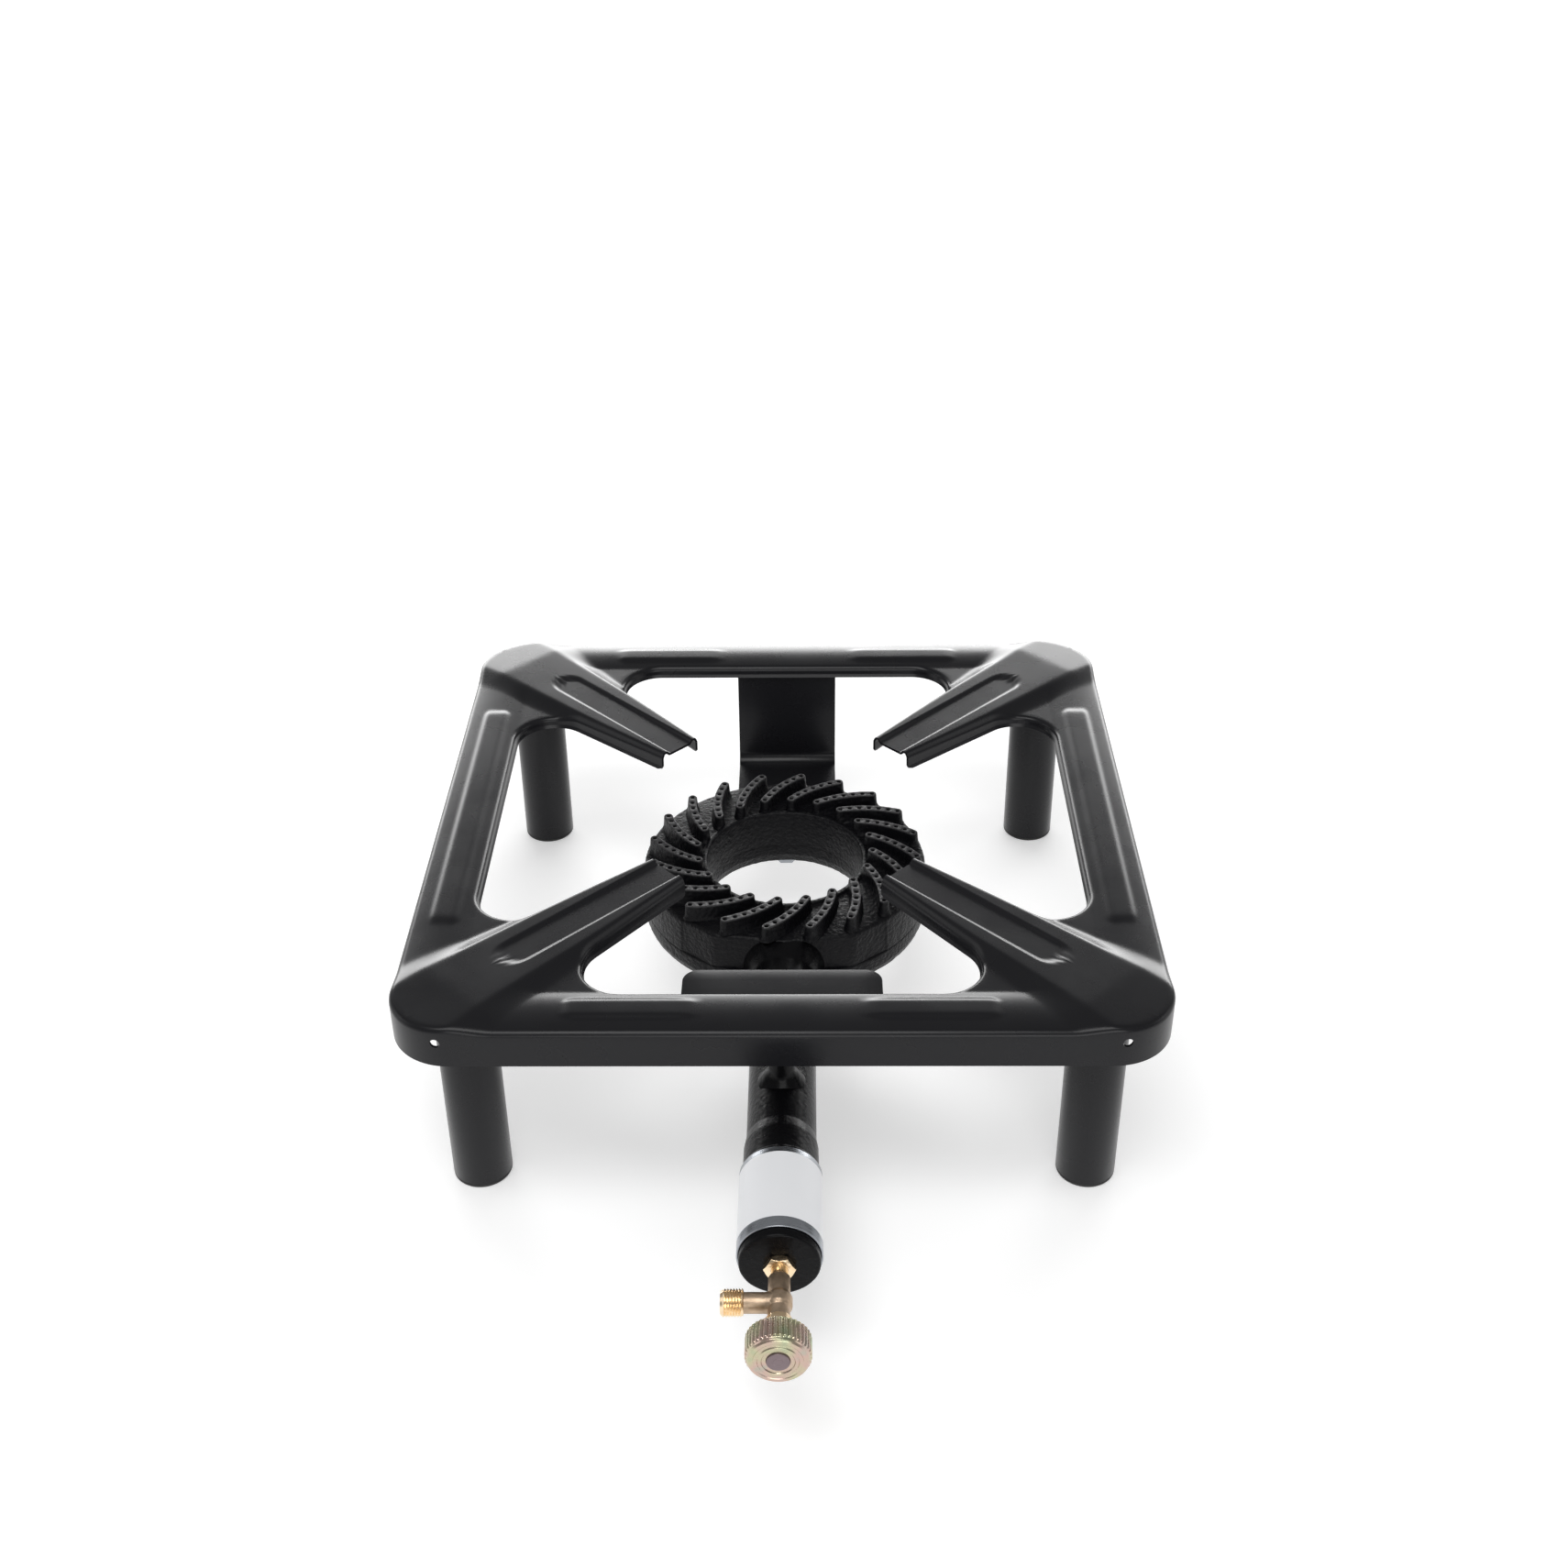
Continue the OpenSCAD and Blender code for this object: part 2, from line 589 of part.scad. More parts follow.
// Two air windows in the lower side of the tube, along the sleeve's middle
module air_cut(r, angle, l, clear) {
    mid = sleeve_back + sleeve_l / 2;
    for (side = [-1, 1])
        rotate([0, side * window_pitch / 2, 0])
            translate([0, tube_end_y - burner_y + mid - l / 2 - clear, 0])
                rotate([-90, 0, 0])
                    linear_extrude(l + 2 * clear)
                        polygon([[0, 0], 2 * r * [sin(-angle / 2), cos(angle / 2)],
                            2 * r * [sin(angle / 2), cos(angle / 2)]]);
}

module burner_head() {
    color(cast_black) at_burner() difference() {
        union() {
            // side walls and inner wall round the gas channel
            translate([0, 0, split_z]) linear_extrude(head_h - port_plate_t) difference() {
                head_outline(0);
                difference() {
                    head_outline(cast_wall);
                    circle(r = hole_r + cast_wall, $fn = 96);
                }
                circle(r = hole_r, $fn = 96);
            }
            // plate with the gas ports
            translate([0, 0, head_top_z - port_plate_t]) linear_extrude(port_plate_t) difference() {
                head_outline(0);
                circle(r = hole_r, $fn = 96);
                ports_plan();
            }
            // ridges on the plate
            translate([0, 0, head_top_z]) linear_extrude(ridge_h) difference() {
                intersection() {
                    ridges_plan();
                    head_outline(0);
                }
                ports_plan();
            }
            // low rim round the centre hole
            translate([0, 0, head_top_z]) linear_extrude(rim_h) difference() {
                circle(r = hole_r + rim_w, $fn = 96);
                circle(r = hole_r, $fn = 96);
            }
            // posts for the screws that hold the lower casting
            for (w = post_angles) rotate(w) translate([post_r, 0, split_z])
                cylinder(d = post_d, h = head_h - port_plate_t + 0.5, $fn = 32);
            // tube and boss stay outside the tube's bore
            difference() {
                union() {
                    tube_body();
                    boss_body();
                }
                translate([0, 0, tube_z]) rod(tube_bore_d, tube_reach, tube_end_y - burner_y + tube_end_t);
            }
        }
        // the bore runs on into the gas channel
        translate([0, 0, tube_z]) rod(tube_bore_d, 2 * cast_wall + 4, tube_in_y - cast_wall);
        // threaded hole for the valve's bushing
        translate([0, 0, tube_z])
            rod(bushing_shank_d + 2 * slide_gap, tube_end_t + 2, tube_end_y - burner_y - 1);
        // threaded hole in the boss
        translate([0, boss_y - burner_y, plate_z - boss_screw_in - 1])
            cylinder(d = screw_d + 2 * slide_gap, h = boss_screw_in + 2);
        for (w = post_angles) rotate(w) translate([post_r, 0, split_z - 1])
            cylinder(d = screw_d + 2 * slide_gap, h = base_screw_in + 2);
        translate([0, 0, tube_z]) air_cut(land_d / 2, window_angle, window_l, 0);
    }
}

bushing_shank_d = 11.9;
boss_screw_in = 12;
base_screw_in = 11;
washer_t = 1.6;

module burner_base() {
    notch_r = tube_d / 2 + 1 + seat_gap;
    color(cast_black) at_burner() difference() {
        union() {
            translate([0, 0, burner_z]) rotate_extrude($fn = 96) difference() {
                polygon([
                    [hole_r + 1.5, 0], [burner_r - 3, 0], [burner_r - 0.8, 1.2],
                    [burner_r, 4], [burner_r, base_h], [hole_r, base_h], [hole_r, 3]]);
                polygon([
                    [hole_r + cast_wall, floor_t], [burner_r - cast_wall, floor_t],
                    [burner_r - cast_wall, base_h + 1], [hole_r + cast_wall, base_h + 1]]);
            }
            for (w = post_angles) rotate(w) translate([post_r, 0, burner_z + floor_t - 0.5])
                cylinder(d = post_d, h = base_h - floor_t + 0.5, $fn = 32);
            translate([0, post_r, burner_z + floor_t - 0.5]) cylinder(d = post_d + 3, h = strap_boss_h);
        }
        // U-shaped notch for the tube's lower half
        translate([0, -burner_r - 1, tube_z]) rod(2 * notch_r, burner_r + 1 + tube_in_y + seat_gap);
        translate([-notch_r, -burner_r - 1, tube_z - notch_r - 10])
            cube([2 * notch_r, burner_r + 1 + tube_in_y + seat_gap, notch_r + 10]);
        for (w = post_angles) rotate(w) translate([post_r, 0, burner_z - 1])
            cylinder(d = screw_d + 2 * hole_gap, h = base_h + 2);
        translate([0, post_r, burner_z - 1]) cylinder(d = bolt_d + 2 * slide_gap, h = strap_bolt_in + 1.5);
    }
}

strap_boss_h = 8;
strap_bolt_in = 9;
screw_head_af = 1.65 * screw_d;
screw_head_h = 4;
bolt_head_af = 1.6 * bolt_d;
bolt_head_h = 5.3;

// Hexagon head on a shank that points up, its bearing face at z = 0
module hex_screw(d, af, head, length) {
    translate([0, 0, -head]) cylinder(d = af / cos(30), h = head, $fn = 6);
    cylinder(d = d, h = length, $fn = 32);
}

module base_screws() {
    color(zinc_grey) at_burner() for (w = post_angles)
        rotate(w) translate([post_r, 0, burner_z])
            hex_screw(screw_d, screw_head_af, screw_head_h, base_h + base_screw_in - 1);
}

// ---------------------------------------------------------------- brackets
weld_gap = 0.2;
strap_below_edge = 3;
strap_end_in = 7;
strap_y = half - rail_w + wall_in + sheet_t + weld_gap;
strap_top_z = edge_z - strap_below_edge;
strap_end_y = burner_y + hole_r + strap_end_in;

// Side view of the strap: up the rail, round the bend, forward under the burner
module strap_side() {
    r = strap_bend_r;
    translate([strap_y, burner_z + r]) square([strap_t, strap_top_z - burner_z - r]);
    translate([strap_end_y, burner_z - strap_t]) square([strap_y - r - strap_end_y, strap_t]);
    translate([strap_y - r, burner_z + r]) intersection() {
        difference() {
            circle(r = r + strap_t, $fn = 48);
            circle(r = r, $fn = 48);
        }
        translate([0, -2 * r - strap_t]) square(2 * r + strap_t);
    }
}

module rear_bracket() {
    color(sheet_black) placed() difference() {
        translate([-strap_w / 2, 0, 0]) rotate([90, 0, 90]) linear_extrude(strap_w) strap_side();
        translate([0, burner_y + post_r, burner_z - strap_t - 1])
            cylinder(d = bolt_d + 2 * slide_gap, h = strap_t + 2);
    }
}

module bracket_washer() {
    color(zinc_grey) at_burner() translate([0, post_r, burner_z - strap_t - washer_t]) difference() {
        cylinder(d = 2.1 * bolt_d, h = washer_t);
        translate([0, 0, -1]) cylinder(d = bolt_d + 2 * slide_gap, h = washer_t + 2);
    }
}

module bracket_bolt() {
    color(zinc_grey) at_burner() translate([0, post_r, burner_z - strap_t - washer_t])
        hex_screw(bolt_d, bolt_head_af, bolt_head_h, strap_t + washer_t + strap_bolt_in);
}

plate_lip_h = 12;

module front_plate() {
    out_y = half - sheet_t;
    in_y = out_y - plate_depth;
    hole_d = screw_d + 2 * slide_gap;
    color(sheet_black) placed() {
        difference() {
            union() {
                translate([0, 0, plate_z]) linear_extrude(plate_t) {
                    translate([-plate_w / 2, -out_y]) square([plate_w, plate_depth - plate_r]);
                    translate([-plate_w / 2 + plate_r, -in_y - plate_r - 1])
                        square([plate_w - 2 * plate_r, plate_r + 1]);
                    for (x = [-1, 1]) translate([x * (plate_w / 2 - plate_r), -in_y - plate_r])
                        circle(r = plate_r);
                }
                translate([-plate_w / 2, -out_y, plate_z]) cube([plate_w, plate_t, plate_lip_h]);
            }
            translate([0, boss_y, plate_z - 1]) cylinder(d = hole_d, h = plate_t + 2);
        }
    }
}

module boss_washer() {
    color(zinc_grey) placed() translate([0, boss_y, plate_z + plate_t]) difference() {
        cylinder(d = 2 * screw_d, h = washer_t);
        translate([0, 0, -1]) cylinder(d = screw_d + 2 * slide_gap, h = washer_t + 2);
    }
}

module boss_screw() {
    color(zinc_grey) placed() translate([0, boss_y, plate_z + plate_t + washer_t])
        mirror([0, 0, 1])
            hex_screw(screw_d, screw_head_af, screw_head_h, plate_t + washer_t + boss_screw_in - 1);
}

// ---------------------------------------------------------------- air sleeve
sleeve_split = 12;

module air_sleeve() {
    ri = land_d / 2 + sleeve_clear;
    color(zinc_grey) at_burner() difference() {
        translate([0, 0, tube_z]) rod(2 * (ri + sleeve_t), sleeve_l, tube_end_y - burner_y + sleeve_back, 96);
        translate([0, 0, tube_z]) rod(2 * ri, sleeve_l + 2, tube_end_y - burner_y + sleeve_back - 1, 96);
        translate([0, 0, tube_z]) air_cut(ri, window_angle, window_l, 0);
        // the rolled sheet stays open along one seam at the bottom
        translate([0, 0, tube_z]) rotate([0, 180, 0])
            translate([0, tube_end_y - burner_y + sleeve_back - 1, 0])
                rotate([-90, 0, 0]) linear_extrude(sleeve_l + 2)
                    polygon([[0, 0], 2 * ri * [sin(-sleeve_split / 2), -cos(sleeve_split / 2)],
                        2 * ri * [sin(sleeve_split / 2), -cos(sleeve_split / 2)]]);
    }
}

// ---------------------------------------------------------------- valve
module at_valve() {
    placed() translate([0, tube_end_y, tube_z]) children();
}

// Positions along Y from the tube's end face
bushing_l = tube_end_t + 5;
nose_in = 2;
barrel_rear = -8;
gland_gap = 0.6;
gland_front = -knob_front + knob_l + gland_gap;
gland_l = 10;
gland_af = 12.4;
nipple_d = 8.6;
nipple_l = 6.5;
barrel_front = gland_front + gland_l;
packing_d = 6.4;
packing_l = 3;
packing_y = barrel_front - nipple_l - 0.5;
injector_d = 8;
needle_seat_y = -inlet_front + 1.5;
gas_way_d = 3;
seat_d = 2;

module hex_bushing() {
    color(brass) at_valve() difference() {
        union() {
            rod(bushing_af / cos(30), bushing_hex_t, -bushing_hex_t, 6);
            rod(bushing_shank_d, bushing_l);
        }
        rod(nose_d + 2 * slide_gap, bushing_l + bushing_hex_t + 2, -bushing_hex_t - 1);
    }
}

module injector() {
    flange_af = 9;
    flange_t = 4;
    nozzle_l = 4;
    jet_d = 1.2;
    jet_in = 2;
    color(brass) at_valve() difference() {
        union() {
            rod(injector_d, bushing_l - nose_in, nose_in);
            rod(flange_af / cos(30), flange_t, bushing_l, 6);
            translate([0, bushing_l + flange_t, 0]) rotate([-90, 0, 0])
                cylinder(d1 = injector_d, d2 = 5, h = nozzle_l, $fn = 32);
        }
        rod(jet_d, bushing_l + flange_t + nozzle_l, nose_in - 1, 16);
        rod(4, bushing_l + flange_t - jet_in, nose_in - 1, 32);
    }
}

module valve_body() {
    neck_l = inlet_reach - inlet_thread_l;
    collar = 2.2;
    collar_l = 4;
    color(brass) at_valve() difference() {
        union() {
            rod(barrel_d, barrel_rear - barrel_front, barrel_front);
            rod(nose_d, nose_in - barrel_rear, barrel_rear);
            rod(barrel_d + collar, collar_l, -inlet_front - collar_l / 2);
            rod(nipple_d, nipple_l + 1, barrel_front - nipple_l);
            translate([0, -inlet_front, 0]) rotate([0, -90, 0]) {
                cylinder(d = inlet_neck_d, h = neck_l + 0.5);
                translate([0, 0, neck_l]) cylinder(d = inlet_thread_d, h = inlet_thread_l);
            }
        }
        // gas way: inlet, cross bore, needle seat and outlet
        translate([-inlet_reach - 1, -inlet_front, 0]) rotate([0, 90, 0])
            cylinder(d = inlet_bore_d, h = inlet_thread_l + 3);
        translate([-inlet_reach, -inlet_front, 0]) rotate([0, 90, 0])
            cylinder(d = gas_way_d, h = inlet_reach);
        rod(seat_d, 4, needle_seat_y - 1);
        rod(gas_way_d, nose_in + 1 - needle_seat_y - 2, needle_seat_y + 2);
        // spindle bore and packing chamber
        rod(spindle_d + 2 * slide_gap, needle_seat_y - packing_y, packing_y);
        rod(packing_d + 2 * slide_gap, packing_l + 1, packing_y - 1);
    }
}

module stem_packing() {
    color(ptfe_white) at_valve() difference() {
        rod(packing_d, packing_l, packing_y);
        rod(spindle_d + 2 * slide_gap, packing_l + 2, packing_y - 1);
    }
}

// The nut screws over the nipple and presses the packing into its chamber
module gland_nut() {
    chamfer = 1.2;
    color(brass) at_valve() difference() {
        intersection() {
            rod(gland_af / cos(30), gland_l, gland_front, 6);
            translate([0, gland_front, 0]) rotate([-90, 0, 0])
                cylinder(d1 = gland_af - 2 * chamfer + 2, d2 = gland_af + 16, h = gland_l);
        }
        rod(spindle_d + 2 * slide_gap, gland_l + 2, gland_front - 1);
        rod(nipple_d + 2 * slide_gap, barrel_front - packing_y + 1, packing_y);
    }
}

module spindle() {
    needle_l = 4.2;
    needle_y = needle_seat_y - 3.1;
    front = -knob_front + hub_floor;
    color(brass) at_valve() difference() {
        union() {
            rod(spindle_d, needle_y - front, front);
            translate([0, needle_y, 0]) rotate([-90, 0, 0])
                cylinder(d1 = spindle_d * 0.95, d2 = 0.8, h = needle_l, $fn = 32);
        }
        rod(screw_m + 2 * slide_gap, screw_in + 1, front - 1, 32);
    }
}

// ---------------------------------------------------------------- knob
// Depths behind the knob's face
face_recess = 0.8;
cap_seat = face_recess + 1;
screw_seat = cap_seat + 1.4;
hub_floor = 5;
hub_end = knob_l - 1;
hub_d = 9;
rim_wall = 3;
screw_m = 2.5;
screw_in = 4;
screw_head_d = 5.4;
screw_head_t = 1.3;

module knob() {
    r = knob_d / 2;
    face_r = r - 1;
    ring_in = knob_cap_d / 2 + 2.2;
    color(passivated) at_valve() translate([0, -knob_front, 0]) rotate([-90, 0, 0]) difference() {
        union() {
            // fluted band
            translate([0, 0, knob_l - flute_l]) linear_extrude(flute_l) difference() {
                circle(r = r, $fn = 96);
                for (k = [0:flute_count - 1]) rotate(k * 360 / flute_count)
                    translate([r + flute_d * 0.15, 0]) circle(d = flute_d, $fn = 16);
            }
            // face with a turned edge and one raised ring
            rotate_extrude($fn = 96) polygon([
                [0, face_recess], [ring_in, face_recess], [ring_in + 0.4, 0],
                [ring_in + 2, 0], [ring_in + 2.4, 0.6], [face_r - 2.4, 0.6],
                [face_r - 1.8, 0.2], [face_r - 0.6, 0.9], [face_r, 2.4],
                [face_r, knob_l - flute_l + 0.5], [0, knob_l - flute_l + 0.5]]);
        }
        // hollow back round the hub
        translate([0, 0, hub_floor]) difference() {
            cylinder(r = r - rim_wall, h = knob_l);
            translate([0, 0, -1]) cylinder(d = hub_d, h = hub_end - hub_floor + 1);
        }
        translate([0, 0, hub_floor]) cylinder(d = spindle_d + 2 * slide_gap, h = knob_l);
        translate([0, 0, -1]) cylinder(d = screw_m + 2 * slide_gap, h = knob_l);
        translate([0, 0, -1]) cylinder(d = knob_cap_d + 2 * slide_gap, h = 1 + cap_seat);
        translate([0, 0, -1]) cylinder(d = screw_head_d + 2 * seat_gap, h = 1 + screw_seat);
    }
}

module knob_screw() {
    head_y = screw_seat - screw_head_t;
    color(zinc_grey) at_valve() translate([0, head_y - knob_front, 0]) {
        rod(screw_head_d, screw_head_t);
        rod(screw_m, hub_floor - head_y + screw_in, 0, 32);
    }
}

module knob_cap() {
    color(cap_red) at_valve()
        rod(knob_cap_d, knob_cap_proud + cap_seat, -knob_front - knob_cap_proud);
}

top_frame();
leg(-1, -1);  // leg_front_left
leg(1, -1);  // leg_front_right
leg(-1, 1);  // leg_rear_left
leg(1, 1);  // leg_rear_right
leg_caps();
front_plate();
rear_bracket();
bracket_bolt();
bracket_washer();
boss_screw();
boss_washer();
burner_head();
burner_base();
base_screws();
air_sleeve();
hex_bushing();
injector();
valve_body();
stem_packing();
gland_nut();
spindle();
knob();
knob_screw();
knob_cap();
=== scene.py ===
import math

import bmesh
import bpy
import numpy as np
from mathutils import Matrix, Vector, noise


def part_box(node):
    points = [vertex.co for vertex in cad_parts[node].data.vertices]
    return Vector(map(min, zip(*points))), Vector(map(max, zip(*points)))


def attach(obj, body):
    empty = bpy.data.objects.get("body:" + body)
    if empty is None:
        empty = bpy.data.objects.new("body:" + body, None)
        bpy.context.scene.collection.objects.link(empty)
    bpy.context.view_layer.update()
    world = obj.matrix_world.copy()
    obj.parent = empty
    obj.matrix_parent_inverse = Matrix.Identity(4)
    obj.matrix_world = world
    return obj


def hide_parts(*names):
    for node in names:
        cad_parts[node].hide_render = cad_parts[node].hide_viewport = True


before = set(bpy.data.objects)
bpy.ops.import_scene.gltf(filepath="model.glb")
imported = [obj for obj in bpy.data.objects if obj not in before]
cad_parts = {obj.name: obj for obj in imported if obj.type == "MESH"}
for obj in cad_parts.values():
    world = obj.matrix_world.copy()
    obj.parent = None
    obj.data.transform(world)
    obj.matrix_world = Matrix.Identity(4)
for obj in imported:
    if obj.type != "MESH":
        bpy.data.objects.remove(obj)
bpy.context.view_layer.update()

# ------------------------------------------------------------------ places, from the frame
# Shapes are written in millimetres with the origin on the floor under the square frame's
# middle; SHIFT_Y carries them to the row's own origin.
MM = 0.001


def node_box(name):
    low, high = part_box(name)
    return np.array(low) / MM, np.array(high) / MM


frame_low, frame_high = node_box("top_frame")
SHIFT_Y = (frame_low[1] + frame_high[1]) / 2
HALF = (frame_high[0] - frame_low[0]) / 2
SKIRT_Z = frame_low[2]
PLATEAU_Z = frame_high[2]


def local_box(name):
    low, high = node_box(name)
    return low - [0, SHIFT_Y, 0], high - [0, SHIFT_Y, 0]


# ------------------------------------------------------------------ mesh tools
def add_object(name, mesh):
    obj = bpy.data.objects.new(name, mesh)
    bpy.context.scene.collection.objects.link(obj)
    return obj


def solid(name, points, faces, weld=0.002):
    """A mesh object from points in millimetres."""
    mesh = bpy.data.meshes.new(name)
    metres = (np.asarray(points, float) + [0, SHIFT_Y, 0]) * MM
    mesh.from_pydata(metres.tolist(), [], [list(map(int, f)) for f in faces])
    bm = bmesh.new()
    bm.from_mesh(mesh)
    bmesh.ops.remove_doubles(bm, verts=bm.verts, dist=weld * MM)
    bmesh.ops.dissolve_degenerate(bm, dist=weld * MM, edges=bm.edges)
    bmesh.ops.recalc_face_normals(bm, faces=bm.faces)
    bm.to_mesh(mesh)
    bm.free()
    return add_object(name, mesh)


def apply_modifiers(obj):
    graph = bpy.context.evaluated_depsgraph_get()
    mesh = bpy.data.meshes.new_from_object(obj.evaluated_get(graph))
    obj.modifiers.clear()
    obj.data = mesh
    return obj


def solidify(obj, thickness):
    mod = obj.modifiers.new("sheet", "SOLIDIFY")
    mod.thickness = thickness * MM
    mod.offset = -1
    mod.use_even_offset = True
    return apply_modifiers(obj)


def bevel(obj, width):
    mod = obj.modifiers.new("edges", "BEVEL")
    mod.width = width * MM
    mod.segments = 3
    mod.limit_method = "ANGLE"
    mod.angle_limit = math.radians(40)
    mod.harden_normals = False
    return apply_modifiers(obj)


def cut(obj, *cutters):
    for cutter in cutters:
        mod = obj.modifiers.new("cut", "BOOLEAN")
        mod.operation = "DIFFERENCE"
        mod.solver = "EXACT"
        mod.object = cutter
    apply_modifiers(obj)
    for cutter in cutters:
        bpy.data.objects.remove(cutter)
    return obj


def dress(obj, material, body, slot, *nodes, sharp=38):
    """Gives a finished mesh its look, its body and the CAD nodes that it stands for."""
    obj.data.materials.clear()
    obj.data.materials.append(material)
    obj.data.polygons.foreach_set("use_smooth", [True] * len(obj.data.polygons))
    obj.data.set_sharp_from_angle(angle=math.radians(sharp))
    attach(obj, body)
    if nodes:
        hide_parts(*nodes)
    return obj


def grid_faces(rows, columns, close_rows=False, close_columns=True):
    faces = []
    for i in range(rows if close_rows else rows - 1):
        for j in range(columns if close_columns else columns - 1):
            i1, j1 = (i + 1) % rows, (j + 1) % columns
            faces.append([i * columns + j, i * columns + j1, i1 * columns + j1, i1 * columns + j])
    return faces


def rounded(corners, steps=5, closed=False):
    """A path through (x, y, radius) corners with each radius as an arc."""
    pts = []
    n = len(corners)
    for i, (x, y, r) in enumerate(corners):
        here = np.array([x, y], float)
        if r <= 0 or (not closed and i in (0, n - 1)):
            pts.append(here)
            continue
        before = np.array(corners[i - 1][:2], float) - here
        after = np.array(corners[(i + 1) % n][:2], float) - here
        before /= np.linalg.norm(before)
        after /= np.linalg.norm(after)
        bend = math.acos(np.clip(before @ after, -1, 1))
        if bend > math.pi - 0.02:
            pts.append(here)
            continue
        reach = r / math.tan(bend / 2)
        middle = here + (before + after) / np.linalg.norm(before + after) * r / math.sin(bend / 2)
        a = here + before * reach - middle
        b = here + after * reach - middle
        w0, w1 = math.atan2(a[1], a[0]), math.atan2(b[1], b[0])
        turn = (w1 - w0 + math.pi) % (2 * math.pi) - math.pi
        for k in range(steps + 1):
            w = w0 + turn * k / steps
            pts.append(middle + r * np.array([math.cos(w), math.sin(w)]))
    return np.array(pts)


AXES = {
    "z": np.array([[1, 0, 0], [0, 1, 0], [0, 0, 1]], float),
    "y": np.array([[1, 0, 0], [0, 0, 1], [0, 1, 0]], float),
    "-x": np.array([[0, 1, 0], [0, 0, 1], [-1, 0, 0]], float),
}


def lathe(name, profile, axis="z", at=(0, 0, 0), segments=96, closed=True, shape=None):
    """Turns a (radius, height) profile; shape(radius, height, angle) can change a radius.
    A closed profile is a ring's section."""
    angles = 2 * math.pi * np.arange(segments) / segments
    pts = []
    for r, h in profile:
        radius = np.full(segments, float(r))
        if shape:
            radius = shape(radius, h, angles)
        height = np.full(segments, float(h))
        local = np.stack([radius * np.cos(angles), radius * np.sin(angles), height], 1)
        pts.append(local @ AXES[axis] + np.array(at, float))
    faces = grid_faces(len(profile), segments, close_rows=closed)
    return solid(name, np.concatenate(pts), faces)


def prism(name, outline, low, high, to_space):
    """An outline extruded from low to high; to_space(u, v, w) places a point."""
    n = len(outline)
    pts = [to_space(u, v, w) for w in (low, high) for u, v in outline]
    faces = grid_faces(2, n) + [list(range(n))[::-1], list(range(n, 2 * n))]
    return solid(name, pts, faces)


def join(name, parts):
    """One object from several meshes of the same piece."""
    bm = bmesh.new()
    for part in parts:
        bm.from_mesh(part.data)
    mesh = bpy.data.meshes.new(name)
    bm.to_mesh(mesh)
    bm.free()
    for part in parts:
        bpy.data.objects.remove(part)
    return add_object(name, mesh)


def roughen(obj, amount, size, seed):
    """Casting texture as real relief: moves points along their normals."""
    mesh = obj.data
    offset = Vector((seed * 7.1, seed * 3.3, seed * 5.7))
    for v in mesh.vertices:
        p = v.co / (size * MM) + offset
        v.co += v.normal * (noise.noise(p) + 0.5 * noise.noise(p * 2.3)) * amount * MM
    return obj


# ------------------------------------------------------------------ materials
def new_material(name, color, roughness, metallic=0.0, specular=0.5):
    material = bpy.data.materials.new(name)
    material.use_nodes = True
    shader = material.node_tree.nodes["Principled BSDF"]
    shader.inputs["Base Color"].default_value = (*color, 1)
    shader.inputs["Roughness"].default_value = roughness
    shader.inputs["Metallic"].default_value = metallic
    shader.inputs["Specular IOR Level"].default_value = specular
    return material, shader


def noise_node(material, scale, detail=4.0, stretch=(1, 1, 1)):
    """Noise in the object's own metres."""
    nodes, links = material.node_tree.nodes, material.node_tree.links
    place = nodes.new("ShaderNodeTexCoord")
    mapping = nodes.new("ShaderNodeMapping")
    mapping.inputs["Scale"].default_value = stretch
    texture = nodes.new("ShaderNodeTexNoise")
    texture.inputs["Scale"].default_value = scale
    texture.inputs["Detail"].default_value = detail
    links.new(place.outputs["Object"], mapping.inputs["Vector"])
    links.new(mapping.outputs["Vector"], texture.inputs["Vector"])
    return texture.outputs["Fac"]


def bump(material, shader, height, strength, distance):
    node = material.node_tree.nodes.new("ShaderNodeBump")
    node.inputs["Strength"].default_value = strength
    node.inputs["Distance"].default_value = distance
    material.node_tree.links.new(height, node.inputs["Height"])
    material.node_tree.links.new(node.outputs["Normal"], shader.inputs["Normal"])


def ramp(material, factor, stops):
    node = material.node_tree.nodes.new("ShaderNodeValToRGB")
    elements = node.color_ramp.elements
    while len(elements) < len(stops):
        elements.new(0.5)
    for element, (position, color) in zip(elements, stops):
        element.position = position
        element.color = (*color, 1)
    material.node_tree.links.new(factor, node.inputs["Fac"])
    return node.outputs["Color"]


def vary_roughness(material, shader, factor, low, high):
    node = material.node_tree.nodes.new("ShaderNodeMapRange")
    node.inputs["To Min"].default_value = low
    node.inputs["To Max"].default_value = high
    material.node_tree.links.new(factor, node.inputs["Value"])
    material.node_tree.links.new(node.outputs["Result"], shader.inputs["Roughness"])


def enamel():
    material, shader = new_material("black_enamel", (0.008, 0.008, 0.0095), 0.27, specular=0.24)
    vary_roughness(material, shader, noise_node(material, 35), low=0.22, high=0.33)
    bump(material, shader, noise_node(material, 110, detail=3), strength=0.045, distance=0.0004)
    return material


def gloss_black():
    material, shader = new_material("tube_black", (0.003, 0.003, 0.0035), 0.26, specular=0.11)
    vary_roughness(material, shader, noise_node(material, 60), low=0.18, high=0.36)
    bump(material, shader, noise_node(material, 400), strength=0.45, distance=0.0005)
    return material


